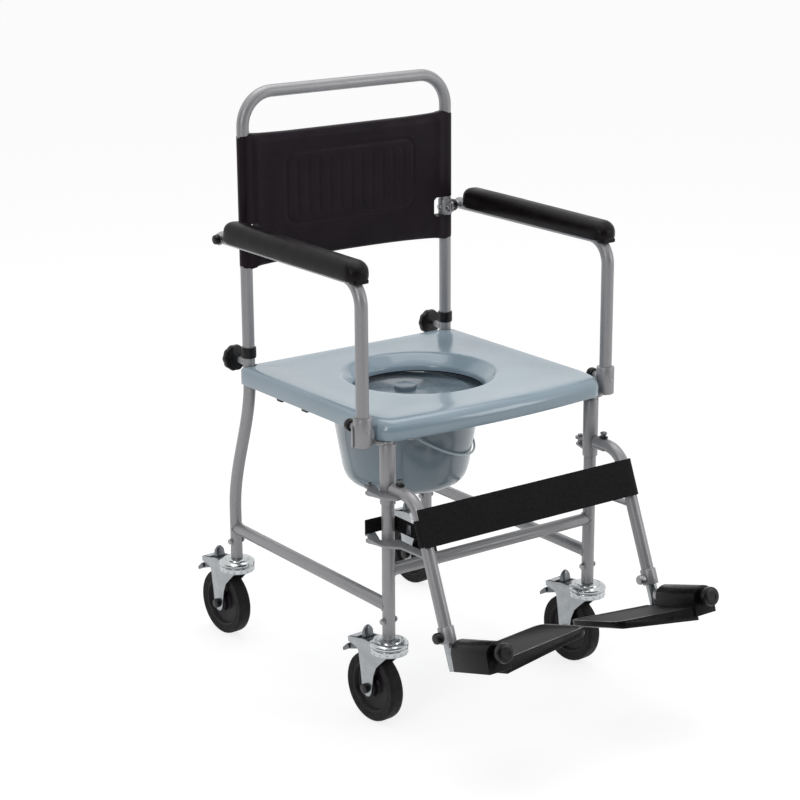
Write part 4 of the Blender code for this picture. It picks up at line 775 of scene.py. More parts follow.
for side, s in SIDES:
    x, front = s * LEG_X, BACK_Y - TUBE_R
    pinch_y = front - 0.006
    strap = [(TUBE_R + 0.0003, ARM_Z - 0.0145), (0.0128, ARM_Z - 0.0145), (0.0130, ARM_Z - 0.0137)]
    strap += [(0.0130, ARM_Z + 0.0137), (0.0128, ARM_Z + 0.0145), (TUBE_R + 0.0003, ARM_Z + 0.0145)]
    ears = []
    for near, far in ((-0.0042, -0.0008), (0.0008, 0.0042)):
        ear_low, ear_high = (x + near, front - 0.0105, ARM_Z - 0.008), (x + far, front + 0.001, ARM_Z + 0.008)
        ears.append(block(ear_low, ear_high, 0.0006))
    cap = [(0, 0.0020), (0.0085, 0.0020), (0.0088, 0.0030), (0.0088, 0.0070), (0.0078, 0.0105)]
    cap += [(0.0055, 0.0120), (0, 0.0123)]
    cap_place = Matrix.Translation((s * 0.2762, BACK_Y, ARM_Z)) @ Matrix.Rotation(s * pi / 2, 4, "Y")
    piece(
        "arm_pivot_bracket_" + side, "back", "zinc", ["arm_bracket_" + side],
        *in_finish(silver_paint, spun(strap, Matrix.Translation((x, BACK_Y, 0)), 40, closed=True), *ears),
        (zinc, pin_bar(x - s * 0.0115, x - s * 0.0165, 0.0058, 0.0040, soft=0.0010)),
        (black_knob, pin_bar(x + s * 0.0155, x + s * 0.0225, 0.0112, soft=0.0010)),
        (dull_steel, pin_bar(x - 0.0085, x + 0.0085, 0.0022, y=pinch_y, sides=20)),
        (dull_steel, hexagon((x - 0.0085, pinch_y, ARM_Z), (x - 0.0044, pinch_y, ARM_Z), 0.0040)),
        (dull_steel, pin_bar(x + 0.0044, x + 0.0085, 0.0042, 0.0026, y=pinch_y)),
        (zinc, pin_bar(x + s * 0.011, s * (ARM_X - 0.0117), 0.0085, soft=0.0008)),
        (zinc, pin_bar(x + s * 0.012, s * 0.284, 0.0039, sides=20)),
        (dull_steel, pin_bar(s * 0.2760, s * 0.2786, 0.0108, soft=0.0005)),
        (black_knob, spun(cap, cap_place, 40)),
    )

# Armrests: a bent silver tube each, with a ferrule pressed on its foot and held by a rivet, and
# a moulded foam pad with a tough black skin pushed on from above.
PAD_FRONT, PAD_REAR, PAD_TOP, PAD_LOW = -0.126, 0.285, 0.827, 0.788
skin_foam = surface("foam pad skin", (0.005, 0.0045, 0.0045), 0.34, Specular_IOR_Level=0.14)
skin_place = on_piece(skin_foam)
tinted(skin_foam, speckle(skin_foam, skin_place, 45, 5.0), (0.0035, 0.0024, 0.0030), (0.0080, 0.0058, 0.0070))
roughened(skin_foam, speckle(skin_foam, skin_place, 35), 0.30, 0.44)
embossed(
    skin_foam,
    (speckle(skin_foam, skin_place, 22), 0.00022),
    (cells(skin_foam, skin_place, 620, "SMOOTH_F1"), 0.00007),
)


def inflated(shape, name, voxel, pressure, reach, hold):
    """Cloth filled with air: the shape is remeshed, swells for 20 frames, and no point may go
    further than its reach. Points that hold() picks stay where they are."""
    mesh = to_mesh(shape, name)
    soft = bpy.data.objects.new(name, mesh)
    bpy.context.scene.collection.objects.link(soft)
    remesh = soft.modifiers.new("remesh", "REMESH")
    remesh.mode = "VOXEL"
    remesh.voxel_size = voxel
    baked = as_modified(soft)
    soft.modifiers.clear()
    soft.data = baked
    start = [v.co.copy() for v in baked.vertices]
    pinned = soft.vertex_groups.new(name="held")
    pinned.add([k for k, co in enumerate(start) if hold(co)], 1.0, "REPLACE")
    cloth = soft.modifiers.new("cloth", "CLOTH")
    cloth.settings.use_pressure = True
    cloth.settings.uniform_pressure_force = pressure
    cloth.settings.effector_weights.gravity = 0
    cloth.settings.quality = 4
    cloth.settings.mass = 0.3
    cloth.settings.vertex_group_mass = "held"
    scene = bpy.context.scene
    for number in range(1, 21):
        scene.frame_set(number)
    swollen = as_modified(soft)
    soft.modifiers.clear()
    scene.frame_set(1)
    for vertex, swelled, rest in zip(baked.vertices, swollen.vertices, start):
        step = swelled.co - rest
        if step.length > reach:
            step *= reach / step.length
        vertex.co = rest + step
    shape = bmesh.new()
    shape.from_mesh(soft.data)
    bpy.data.objects.remove(soft)
    return shape


def smoothed(shape):
    bmesh.ops.smooth_vert(
        shape, verts=shape.verts, factor=0.5, use_axis_x=True, use_axis_y=True, use_axis_z=True
    )
    return shape


def arm_route(x):
    return bent([(x, 0.311, ARM_Z), (x, POST_Y, ARM_Z), (x, POST_Y, 0.511)], 0.045)


def pad_blank(x):
    """The pad's outline seen from above, raised and rounded over, a little under its size."""
    half, nose = 0.0222, 0.019
    front, rear = PAD_FRONT + 0.0012, PAD_REAR - 0.0012
    outline = arc((x - half + nose, front + nose), nose, 180, 270, 10)
    outline += arc((x + half - nose, front + nose), nose, 270, 360, 10)
    outline += arc((x + half - nose, rear - nose), nose, 0, 90, 10)
    outline += arc((x - half + nose, rear - nose), nose, 90, 180, 10)
    shape = drawn_up(outline, PAD_LOW, PAD_TOP - 0.0012 - PAD_LOW)
    rounded(shape, [e for e in shape.edges if all(v.co.z > PAD_TOP - 0.002 for v in e.verts)], 0.0165, 8)
    rounded(shape, [e for e in shape.edges if all(v.co.z < PAD_LOW + 0.0005 for v in e.verts)], 0.002, 3)
    for vertex in shape.verts:
        fall = 0.28 * ease((front + 0.034 - vertex.co.y) / 0.034)
        vertex.co.z -= fall * (vertex.co.z - PAD_LOW)
    return shape


for side, s in SIDES:
    x = s * ARM_X
    rivet_y = POST_Y - 0.016
    piece(
        "armrest_tube_" + side, "arm_" + side, "tube_paint", ["arm_tube_" + side],
        (silver_paint, tube(arm_route(x), TUBE_R)),
        (silver_paint, bar((x, POST_Y, 0.5105), (x, POST_Y, 0.560), 0.016, soft=0.0014)),
        (zinc, bar((x, rivet_y + 0.004, 0.5365), (x, rivet_y - 0.0012, 0.5365), 0.0032, 0.0020, soft=0.0006)),
        (black_guide, bar((x, 0.3105, ARM_Z), (x, 0.3135, ARM_Z), 0.0106, soft=0.001)),
    )
    pad = smoothed(inflated(pad_blank(x), "pad", 0.004, 4.0, 0.0016, lambda co: co.z < PAD_LOW + 0.003))
    lip_low = (x - 0.0150, PAD_FRONT + 0.0030, 0.7835)
    lip_high = (x + 0.0150, PAD_FRONT + 0.0215, PAD_LOW + 0.004)
    cushion = piece(
        "armrest_pad_" + side, "arm_" + side, "black_plastic", ["arm_pad_" + side],
        (skin_foam, pad), (skin_foam, block(lip_low, lip_high, 0.0025)), angle=50,
    )
    fuller = cushion.modifiers.new("rounder", "SUBSURF")
    fuller.levels = fuller.render_levels = 1

# Vinyl back: a sleeve of black coated cloth over both back tubes, hemmed above and below, with a
# welded panel of upright channels in the middle and a window at each arm bracket.
VINYL_LOW, VINYL_HIGH, VINYL_R = 0.7275, 0.973, 0.0137
PANEL_X, PANEL_LOW, PANEL_HIGH, CHANNELS = 0.140, 0.800, 0.930, 12
vinyl = surface("black vinyl", (0.0105, 0.0062, 0.0100), 0.42, Specular_IOR_Level=0.13)
vinyl_place = on_piece(vinyl)
tinted(vinyl, speckle(vinyl, vinyl_place, 25, 6.0), (0.0090, 0.0050, 0.0085), (0.0135, 0.0078, 0.0130))
roughened(vinyl, speckle(vinyl, vinyl_place, 18), 0.36, 0.50)
embossed(
    vinyl,
    (speckle(vinyl, vinyl_place, 14), 0.0004),
    (cells(vinyl, vinyl_place, 700, "SMOOTH_F1"), 0.00012),
)


def sleeve_depth(x):
    """Half the sleeve's thickness: the tubes' radius at the sides, drawn in between them."""
    return 0.0080 + (VINYL_R - 0.0012 - 0.0080) * ease((abs(x) - 0.185) / 0.037)


def sleeve_blank():
    """A flat loop round both tubes, drawn up from its lower edge."""
    across = [-LEG_X + 2 * LEG_X * k / 74 for k in range(75)]
    loop = [(x, BACK_Y - sleeve_depth(x)) for x in across]
    loop += arc((LEG_X, BACK_Y), VINYL_R - 0.0012, -75, 75, 10)
    loop += [(x, BACK_Y + sleeve_depth(x)) for x in reversed(across)]
    loop += arc((-LEG_X, BACK_Y), VINYL_R - 0.0012, 105, 255, 10)
    return drawn_up(loop, VINYL_LOW + 0.001, VINYL_HIGH - VINYL_LOW - 0.002)


def panel_line(x, z):
    """How strongly a welded line presses the skin at a point of the front: the panel's rounded
    outline and the upright lines between its channels."""
    mid_z, half_z, corner = (PANEL_LOW + PANEL_HIGH) / 2, (PANEL_HIGH - PANEL_LOW) / 2, 0.022
    dx, dz = abs(x) - PANEL_X + corner, abs(z - mid_z) - half_z + corner
    edge = hypot(max(dx, 0), max(dz, 0)) + min(max(dx, dz), 0) - corner
    press = max(0, 1 - abs(edge) / 0.0045)
    if edge < -0.009:
        pitch = 2 * PANEL_X / CHANNELS
        off = abs((x + PANEL_X) % pitch - pitch / 2)
        press = max(press, 0.8 * max(0, 1 - abs(pitch / 2 - off) / 0.0050) * ease((-0.009 - edge) / 0.01))
    return press


held_x, hem_off = 0.208, 0.1085
sleeve = smoothed(inflated(sleeve_blank(), "sleeve", 0.005, 3.0, 0.0035, lambda co: abs(co.x) > held_x))
bmesh.ops.subdivide_edges(sleeve, edges=sleeve.edges, cuts=1, use_grid_fill=True)
for vertex in sleeve.verts:
    co = vertex.co
    share = (VINYL_HIGH - co.z) / (VINYL_HIGH - VINYL_LOW)
    front_side = co.y < BACK_Y
    drape = 0.0007 * noise(Vector((co.x * 9, co.z * 6, 3.1 if front_side else 7.7)))
    press = panel_line(co.x, co.z) if front_side else 0
    hem = 0.0007 * max(0, 1 - abs(abs(co.z - (VINYL_LOW + VINYL_HIGH) / 2) - hem_off) / 0.003)
    inward = (1 if front_side else -1) * (0.0009 * press + hem + drape)
    if abs(co.x) < held_x:
        co.y += inward * ease((held_x - abs(co.x)) / 0.02)
    co.z += 0.006 * max(0, share) ** 4 * max(0, 1 - (co.x / LEG_X) ** 2)

windows = []
for s, inner in ((-1, 0.199), (1, 0.188)):
    window = [(0.2475, 0.775), (inner + 0.005, 0.775), (inner, 0.780)]
    window += [(inner, 0.806), (inner + 0.005, 0.811), (0.2475, 0.811)]
    windows.append(cut_plate([(s * a, b) for a, b in window], 0.06, FRONT_VIEW, (0, BACK_Y, 0), 0))
    below, above = (s * LEG_X, BACK_Y, VINYL_LOW - 0.02), (s * LEG_X, BACK_Y, VINYL_HIGH + 0.02)
    windows.append(bar(below, above, TUBE_R + 0.0004, soft=0))
back_rest = piece(
    "vinyl_back_sleeve", "back", "vinyl", ["back_upholstery"], (vinyl, opened(sleeve, *windows)), angle=40,
)

# Seat: one glossy blue-grey moulding with a rolled skirt, a shallow dish and a funnel that
# leads down into the pan. It drops over the seat frame and round the rear legs.
HOLE_Y, SEAT_TOP = 0.083, 0.551


def gloss_plastic(name, colour, roughness, coat):
    """Moulded plastic: faint flow marks in the colour and rub marks in the gloss."""
    material = surface(name, colour, roughness, Coat_Weight=coat, Coat_Roughness=0.06, Specular_IOR_Level=0.5)
    place = on_piece(material)
    tone = [tuple(min(1, c * share) for c in colour) for share in (0.94, 1.05)]
    tinted(material, speckle(material, place, 9, 6.0), *tone)
    rubbed = speckle(material, on_piece(material, (1, 6, 1), (0, 0, 0.6)), 70, 6.0)
    roughened(material, rubbed, roughness * 0.9, roughness * 1.15, 0.4, 0.75)
    embossed(material, (speckle(material, place, 22), 0.00012), (speckle(material, place, 400), 0.000004))
    return material


seat_plastic = gloss_plastic("seat plastic", (0.315, 0.415, 0.490), 0.24, 0.40)


def seat_outline(inset):
    """The seat seen from above, with a gently bowed front edge."""
    half, corner_x, corner_y = 0.240 - inset, 0.205, -0.117
    radius, rear, rear_r = 0.035 - inset, 0.308 - inset, 0.012 - inset
    outline = [(half, corner_y + (rear - rear_r - corner_y) * k / 24) for k in range(1, 24)]
    outline += arc((half - rear_r, rear - rear_r), rear_r, 0, 90, 5)
    outline += [((half - rear_r) * (1 - k / 12), rear) for k in range(1, 24)]
    outline += arc((-half + rear_r, rear - rear_r), rear_r, 90, 180, 5)
    outline += [(-half, rear - rear_r + (corner_y - rear + rear_r) * k / 24) for k in range(1, 24)]
    outline += arc((-corner_x, corner_y), radius, 180, 262, 12)
    for k in range(-9, 10):
        x = k * 0.0205
        outline.append((x, -0.152 + inset - 0.013 * (1 - (x / corner_x) ** 2)))
    return outline + arc((corner_x, corner_y), radius, 278, 360, 12)


seat_rim = [Vector(point) for point in seat_outline(0)]
seat_inward = [(Vector(b) - a) / 0.001 for a, b in zip(seat_rim, seat_outline(0.001))]
edge_radii = [0.011 + 0.0085 * ease((-0.085 - point.y) / 0.050) for point in seat_rim]


def edge_ring(shape, wall, angle):
    """A ring of the rounded edge, or of the hollow a wall's width under it."""
    a, ring = radians(angle), []
    for point, inward, r in zip(seat_rim, seat_inward, edge_radii):
        x, y = point + inward * (wall + (r - wall) * (1 - cos(a)))
        ring.append(shape.verts.new((x, y, SEAT_TOP - r + (r - wall) * sin(a))))
    return ring


def seat_ring(shape, inset, height):
    spots = [point + inward * inset for point, inward in zip(seat_rim, seat_inward)]
    return [shape.verts.new((*spot, height)) for spot in spots]


def hole_ring(shape, share, radius, height):
    """A ring part of the way from the outline to a circle round the hole."""
    ring = []
    for point, inward, r in zip(seat_rim, seat_inward, edge_radii):
        outer = point + inward * r
        a = atan2(outer.y - HOLE_Y, outer.x)
        circle = Vector((radius * cos(a), HOLE_Y + radius * sin(a)))
        ring.append(shape.verts.new((*outer.lerp(circle, share), height)))
    return ring


def bridged(shape, rings):
    """Quads between rings of equal counts, all the way round and closed from last to first."""
    for first, second in zip(rings, rings[1:] + rings[:1]):
        for k in range(len(first)):
            shape.faces.new((first[k - 1], first[k], second[k], second[k - 1]))


seat = bmesh.new()
skirt, wall = 0.518, 0.004
rings = [seat_ring(seat, 0.0006, skirt), seat_ring(seat, 0.0, skirt + 0.0008)]
rings += [edge_ring(seat, 0, 90 * k / 10) for k in range(11)]
dish = [
    (0.06, 0.0), (0.14, 0.0), (0.24, -0.0006), (0.38, -0.0015), (0.55, -0.0019), (0.75, -0.0021),
    (0.90, -0.0021),
]
for share, drop in dish:
    rings.append(hole_ring(seat, share, 0.1445, SEAT_TOP + drop))
funnel = [
    (0.1445, 0.5489), (0.1425, 0.5488), (0.1405, 0.5483), (0.1385, 0.5473), (0.1365, 0.5459),
    (0.1335, 0.5432), (0.1275, 0.5378), (0.1225, 0.5332), (0.1198, 0.5302), (0.1184, 0.5280),
    (0.1178, 0.5262), (0.1176, 0.5230), (0.1176, 0.5190), (0.1180, 0.5182), (0.1190, 0.5180),
    (0.1202, 0.5184), (0.1206, 0.5195), (0.1210, 0.5250), (0.1235, 0.5277), (0.1300, 0.5338),
    (0.1380, 0.5412), (0.1425, 0.5443), (0.1460, 0.5450),
]
for radius, height in funnel:
    rings.append(hole_ring(seat, 1.0, radius, height))
for share in (0.7, 0.3, 0.1):
    rings.append(hole_ring(seat, share, 0.1460, 0.5450))
rings += [edge_ring(seat, wall, 90 - 90 * k / 5) for k in range(6)]
rings.append(seat_ring(seat, wall, skirt + 0.0008))
rings.append(seat_ring(seat, wall - 0.0006, skirt))
bridged(seat, rings)
bmesh.ops.recalc_face_normals(seat, faces=seat.faces)
notches = []
for x in (-LEG_X, LEG_X):
    notch = arc((x, BACK_Y), 0.0145, 180, 360, 24)
    notch += [(x + 0.0145, BACK_Y + 0.03), (x - 0.0145, BACK_Y + 0.03)]
    notches.append(lying_plate(notch, 0.49, 0.58, 0))
seat_shell = opened(seat, *notches)
clips = []
for clip_y in (0.176, 0.096):
    clip_low, clip_high = (-0.2385, clip_y - 0.008, 0.5135), (-0.2290, clip_y + 0.008, 0.5200)
    clips.append(block(clip_low, clip_high, 0.001))
# A thin black ring under the funnel's lip is painted shade: it stands in for the dark shadow gap between the
# funnel and the lid.
painted_shade_ring = [(0.1174, 0.5174), (0.1206, 0.5174), (0.1206, 0.5194), (0.1174, 0.5194)]
painted_shade_ring = spun(painted_shade_ring, Matrix.Translation((0, HOLE_Y, 0)), 96, closed=True)
piece(
    "seat_moulding", "seat", "seat_plastic", ["seat_shell"],
    (seat_plastic, seat_shell), *in_finish(black_guide, painted_shade_ring, *clips), angle=38,
)

# Pan, lid and bail: a tapered blue-grey pail that hangs by its rim in the runners, a flat lid
# with a round knob, and a pale plastic-coated wire bail.
PAN_Y, PAN_TURN = 0.125, radians(44)
pan_plastic = gloss_plastic("pan plastic", (0.215, 0.285, 0.335), 0.24, 0.35)
# The lid is the pan's plastic, made darker in colour: that darkening is painted shade from the seat above it.
shaded_lid_plastic = gloss_plastic("lid plastic with painted shade", (0.170, 0.228, 0.272), 0.26, 0.25)
pale_wire = gloss_plastic("pale wire coating", (0.56, 0.68, 0.74), 0.30, 0.1)
pan_place = Matrix.Translation((0, PAN_Y, 0))
pail = [
    (0.1350, 0.5026), (0.1365, 0.5030), (0.1488, 0.5030), (0.1500, 0.5018), (0.1500, 0.4998),
    (0.1490, 0.4988), (0.1400, 0.4988), (0.1386, 0.4975), (0.1275, 0.4360), (0.1162, 0.3700),
    (0.1135, 0.3600), (0.1090, 0.3500), (0.1020, 0.3425), (0.0930, 0.3378), (0.0840, 0.3362),
    (0.0760, 0.3360), (0.0740, 0.3372), (0.0, 0.3372), (0.0, 0.3396), (0.0830, 0.3398), (0.0920, 0.3412),
    (0.1000, 0.3455), (0.1064, 0.3520), (0.1108, 0.3610), (0.1135, 0.3710), (0.1248, 0.4365),
    (0.1348, 0.4960),
]
reach = Vector((cos(PAN_TURN), sin(PAN_TURN), 0))
pivot = Vector((0, PAN_Y, 0.489))
ears = []
for s in (-1, 1):
    root = pivot + reach * s * 0.1340
    ears.append(bar(root, pivot + reach * s * 0.1384, 0.0052, soft=0.0005))
    ears.append(bar(root, pivot + reach * s * 0.1465, 0.0021, sides=20))
piece(
    "pan_pail", "pan", "pan_plastic", ["commode_pan"],
    *in_finish(pan_plastic, spun(pail, pan_place, 96), *ears), angle=40,
)
cover = [
    (0.0, 0.5170), (0.0178, 0.5170), (0.0198, 0.5164), (0.0207, 0.5150), (0.0208, 0.5130), (0.0196, 0.5085),
    (0.0198, 0.5076), (0.0212, 0.5072), (0.0700, 0.5070), (0.0725, 0.5064), (0.1120, 0.5064),
    (0.1145, 0.5072), (0.1185, 0.5072), (0.1215, 0.5060), (0.1445, 0.5058), (0.1460, 0.5052),
    (0.1460, 0.5036), (0.1338, 0.5034), (0.1328, 0.4985), (0.1310, 0.4985), (0.1300, 0.5036), (0.0, 0.5038),
]
piece("pan_cover", "lid", "pan_plastic", ["pan_lid"], (shaded_lid_plastic, spun(cover, pan_place, 96)), angle=40)
forward = Vector((sin(PAN_TURN), -cos(PAN_TURN), 0))
hang = radians(36)
swing = forward * cos(hang) - Vector((0, 0, sin(hang)))
hoop = []
for k in range(57):
    t = radians(1) + (pi - radians(2)) * k / 56
    hoop.append(pivot - reach * 0.142 * cos(t) + swing * 0.155 * sin(t))
eye = [
    (0.0026, -0.0016), (0.0044, -0.0016), (0.0048, -0.0010), (0.0048, 0.0010), (0.0044, 0.0016),
    (0.0026, 0.0016),
]
eyes = []
for s in (-1, 1):
    turn = (reach * s).to_track_quat("Z", "Y").to_matrix().to_4x4()
    eyes.append((pale_wire, spun(eye, Matrix.Translation(pivot + reach * s * 0.142) @ turn, 28, closed=True)))
piece("bail_wire", "bail", "bail_plastic", ["bail_handle"], (pale_wire, tube(hoop, 0.002, 16)), *eyes)

# Footrest hangers: bent tube on two hinge plates that swing on the legs' pins. A spring latch
# with a small thumb knob locks each one, and a collar at the lower end clamps the stem.
SLOPE = 0.4008
slope_length = hypot(1, SLOPE)
down_run = Vector((0, -SLOPE, -1)) / slope_length
forward_run = Vector((0, -1, SLOPE)) / slope_length


def run_point(s, z, ahead=0.0):
    """A point on the hanger's lower run, or square before it."""
    return Vector((s * LEG_X, -0.211 - (0.434 - z) * SLOPE, z)) + forward_run * ahead


def hinge_plate(s, front_points):
    outline = arc((LEG_X, FRONT_LEG_Y), 0.0153, -98, 40, 20)
    outline += arc((PIN_X, PIN_Y), 0.0095, 195, -30, 20)
    outline += [(0.2525, -0.113), (0.2525, -0.152)] + front_points
    return [(s * x, y) for x, y in outline]


top_run_z, lower_end_z = 0.434, 0.2105
upper = [(0.2510, -0.160), (0.2480, -0.168), (0.2365, -0.178), (0.2115, -0.178), (0.2115, -0.1483)]
line_y = run_point(1, LOWER_PLATE_Z).y
lower = [
    (0.2490, -0.162), (0.2400, -0.174), (0.232, -0.180), (0.229, line_y), (0.215, line_y), (0.212, -0.180),
    (0.2115, -0.1483),
]
latch_y, latch_top = -0.167, 0.4457
leftward = Vector((-1, 0, 0))
button = [
    (0, 0.0110), (0.0045, 0.0110), (0.0060, 0.0102), (0.0063, 0.0088), (0.0056, 0.0068), (0.0042, 0.0050),
    (0.0040, 0.0020), (0, 0.0020),
]
for side, s in SIDES:
    x = s * LEG_X
    lower_end = run_point(s, lower_end_z)
    route = bent([(x, -0.1475, top_run_z), (x, -0.211, top_run_z), lower_end], 0.050)
    plates = []
    for plate_z, front_points in ((UPPER_PLATE_Z, upper), (LOWER_PLATE_Z, lower)):
        plates.append(lying_plate(hinge_plate(s, front_points), plate_z - 0.002, plate_z + 0.002, 0.0006))
    collar = bar(run_point(s, 0.236), lower_end, 0.0138, soft=0.0012)
    piece(
        "hanger_tube_" + side, "hanger_" + side, "tube_paint", ["hanger_" + side],
        *in_finish(silver_paint, tube(route, TUBE_R), collar, *plates),
        (black_guide, bar((x, -0.1480, top_run_z), (x, -0.1470, top_run_z), 0.0100, soft=0)),
    )
    oval = link_outline((x, latch_y + 0.003), 0.0058, (x, latch_y - 0.003), 0.0058)
    piece(
        "latch_button_" + side, "latch_" + side, "zinc", ["hanger_latch_" + side],
        (dull_steel, bar((x, -0.1485, top_run_z), (x, latch_y - 0.004, top_run_z), 0.0035, sides=20)),
        (dull_steel, bar((x, latch_y, top_run_z), (x, latch_y, latch_top + 0.003), 0.003, sides=20)),
        (black_guide, lying_plate(oval, latch_top, latch_top + 0.003, 0.0006)),
        (dark_zinc, spun(button, Matrix.Translation((x, latch_y, latch_top)), 32)),
    )
    lock = run_point(s, 0.2215)
    knob_r = 0.0095 if side == "left" else 0.0085
    screw_finish = black_knob if side == "left" else dull_steel
    screw = [(0, 0), (knob_r * 0.9, 0), (knob_r, 0.001), (knob_r, 0.0085)]
    screw += [(knob_r * 0.86, 0.0112), (knob_r * 0.4, 0.012), (0, 0.012)]
    screw_place = Matrix.Translation(lock + leftward * 0.0142) @ Matrix.Rotation(-pi / 2, 4, "Y")
    piece(
        "height_screw_" + side, "height_lock_" + side, "black_plastic" if side == "left" else "zinc",
        ["height_lock_knob_" + side],
        (screw_finish, spun(screw, screw_place, 36)),
        (zinc, bar(lock + leftward * 0.0103, lock + leftward * 0.0150, 0.0025, sides=20)),
    )

# Footplates: a zinc inner tube with a bar to the front carries each moulded black plate. The
# plate's hinge block turns on the bar, and a screw knob at the front end keeps it there.
RISE = radians(16.4)
BLOCK_LONG = 0.099
knob_profile = [
    (0, 0), (0.0106, 0), (0.0118, 0.0010), (0.0120, 0.0085), (0.0140, 0.0096), (0.0156, 0.0102),
    (0.0165, 0.0118), (0.0165, 0.0178), (0.0156, 0.0205), (0.0138, 0.0215), (0.0085, 0.0213),
    (0.0070, 0.0200), (0.0, 0.0198),
]
plate_black = moulded_black("footplate plastic", (0.0045, 0.0035, 0.0035), 0.28, 0.16, 900, 0.00002)
grip_black = surface("footplate grip", (0.014, 0.012, 0.011), 0.55, Specular_IOR_Level=0.14)
grip_place = on_piece(grip_black)
grip_grain = speckle(grip_black, grip_place, 160, 5.0)
tinted(grip_black, grip_grain, (0.006, 0.0045, 0.0042), (0.0130, 0.0100, 0.0092))
embossed(grip_black, (cells(grip_black, grip_place, 420), 0.00035))
for side, s in SIDES:
    let_down = 0.0 if side == "left" else 0.008
    start = Vector((s * LEG_X, -0.334, 0.209)) + down_run * let_down
    axes = (Vector((-s, 0, 0)), Vector((0, -cos(RISE), sin(RISE))), Vector((0, sin(RISE), cos(RISE))))
    plate_place = Matrix.Translation(start) @ Matrix(axes).transposed().to_4x4()

    def at(distance):
        return plate_place @ Vector((0, distance, 0))

    foot = run_point(s, 0.168) + down_run * let_down
    piece(
        "footrest_stem_" + side, "stem_" + side, "zinc", ["footplate_stem_" + side],
        (zinc, bar(foot, foot - down_run * 0.165, 0.0095, soft=0.0008)),
        (zinc, bar(at(-0.0306), at(BLOCK_LONG + 0.0003), 0.007)),
        (dull_steel, bar(at(-0.0203), at(-0.0003), 0.011, soft=0.001)),
        (zinc, bar(at(BLOCK_LONG - 0.005), at(0.112), 0.0029, sides=20)),
        (black_guide, bar(foot + down_run * 0.0004, foot - down_run * 0.0015, 0.0090, soft=0.0006)),
    )
    plate = copy_of("footplate_" + side, 0.0014, 3, 25)
    up = plate_place.to_3x3() @ Vector((0, 0, 1))
    deck = [f for f in plate.faces if f.normal.dot(up) > 0.9 and f.calc_area() > 0.004]
    bmesh.ops.inset_region(plate, faces=deck, thickness=0.0055, depth=0.0)
    bmesh.ops.inset_region(plate, faces=deck, thickness=0.0008, depth=-0.0006)
    made = piece(
        "footrest_plate_" + side, "footplate_" + side, "black_plastic", ["footplate_" + side],
        (plate_black, plate), angle=30,
    )
    made.data.materials.append(grip_black)
    for polygon in made.data.polygons:
        lifted = plate_place.to_3x3().inverted() @ polygon.normal
        if lifted.z > 0.95 and polygon.area > 0.0035:
            polygon.material_index = 1
    knob_turn = axes[1].to_track_quat("Z", "Y").to_matrix().to_4x4()
    knob_start = at(BLOCK_LONG + 0.0009)
    piece(
        "footplate_screw_knob_" + side, "footplate_screw_" + side, "black_plastic",
        ["footplate_knob_" + side],
        (black_knob, spun(knob_profile, Matrix.Translation(knob_start) @ knob_turn, 48)),
    )

# Calf strap: black webbing, 65 mm wide, that goes across the front of both hangers and comes
# back round the right one. A ribbed tail runs back from the left one past the leg.
webbing = surface("black webbing", (0.008, 0.0075, 0.008), 0.78, Specular_IOR_Level=0.14)
weave_lean = -atan2(SLOPE, 1)
weave_place = on_piece(webbing, (1, 1, 1), (weave_lean, 0, 0))
tinted(webbing, speckle(webbing, weave_place, 260, 4.0), (0.006, 0.0055, 0.006), (0.015, 0.0145, 0.015))


def threads(material, where, direction, scale):
    wave = node(material, "ShaderNodeTexWave", Scale=scale, Distortion=0.6, Detail=2.0)
    wave.bands_direction = direction
    wire(material, where, wave.inputs["Vector"])
    return wave.outputs["Fac"]


embossed(
    webbing,
    (threads(webbing, weave_place, "X", 210), 0.00025),
    (threads(webbing, weave_place, "Z", 150), 0.00020),
)


def webbing_strip(shape, lower, upper, thick):
    """A strap between its two edges, given its thickness."""
    for k in range(len(lower) - 1):
        shape.faces.new((lower[k], lower[k + 1], upper[k + 1], upper[k]))
    bmesh.ops.recalc_face_normals(shape, faces=shape.faces)
    bmesh.ops.solidify(shape, geom=shape.faces[:], thickness=thick)
    return tidy(shape, 0.000001)


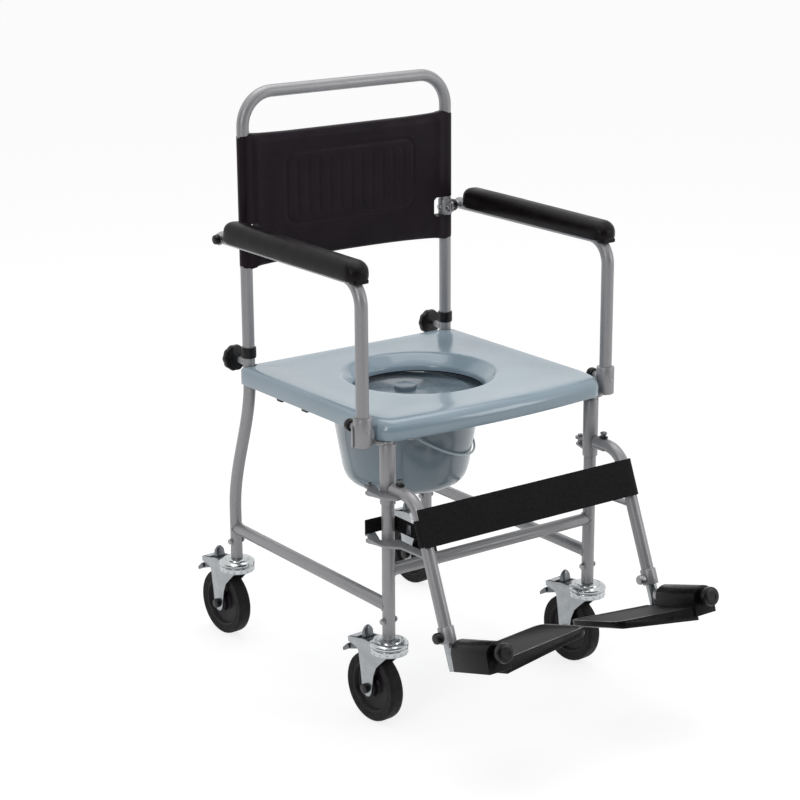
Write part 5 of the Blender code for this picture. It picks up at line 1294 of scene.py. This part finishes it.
def band(route, low_z, high_z, thick):
    """A strap on edge: its route is (x, forward) points square to the hanger's run."""
    shape = bmesh.new()
    lower, upper = [], []
    for x, ahead in route:
        for z, row in ((low_z, lower), (high_z, upper)):
            point = run_point(1, z, ahead)
            row.append(shape.verts.new((x, point.y, point.z)))
    return webbing_strip(shape, lower, upper, thick)


left_end, front_long, front_ahead = -0.2350, 0.4650, 0.0150
route = [(left_end, front_ahead)]
for k in range(1, 40):
    route.append((left_end + front_long * k / 40, front_ahead + 0.0004 * sin(k * 0.7)))
route += arc((LEG_X, 0), 0.0143, 80, -170, 30)
route += [(LEG_X - 0.020, 0.004), (LEG_X - 0.045, 0.0100), (LEG_X - 0.070, 0.0118), (LEG_X - 0.110, 0.0120)]
strap = band(route, 0.358, 0.418, 0.0018)
piece("calf_strap_webbing", "hanger_right", "webbing", ["calf_strap"], (webbing, strap), angle=40)
wrap_shape = band(arc((-LEG_X, 0), 0.0128, -90, 262, 40), 0.360, 0.402, 0.0015)
tail_line = [(-0.2105, -0.242), (-0.2055, -0.218), (-0.2042, -0.200), (-0.2040, -0.180)]
tail_line += [(-0.2040, y) for y in (-0.164, -0.150, -0.138)]
tail_line += arc((-0.2165, -0.1265), 0.0125, 0, 90, 10)
tail_line += [(-0.230, -0.1140), (-0.243, -0.1140), (-0.2565, -0.1140)]
tail = bmesh.new()
tail_rows = [[tail.verts.new((*p, z)) for p in tail_line] for z in (0.3525, 0.3775)]
tail = webbing_strip(tail, *tail_rows, 0.0018)
ribs = []
for z in (0.3535, 0.3602, 0.3669, 0.3736):
    ribs.append(tube([(*p, z + 0.0014) for p in tail_line], 0.0015, 8))
buckles = []
for y in (-0.213, -0.168):
    buckles.append((zinc, bar((-0.2062, y, 0.3650), (-0.2020, y, 0.3650), 0.0040, 0.0032, soft=0.0008)))
    buckles.append((dark_zinc, block((-0.2064, y - 0.006, 0.3560), (-0.2028, y + 0.006, 0.3740), 0.0008)))
piece(
    "calf_strap_loose_end", "hanger_left", "webbing", ["calf_strap_tail"],
    *in_finish(webbing, wrap_shape, tail, *ribs), *buckles, angle=40,
)
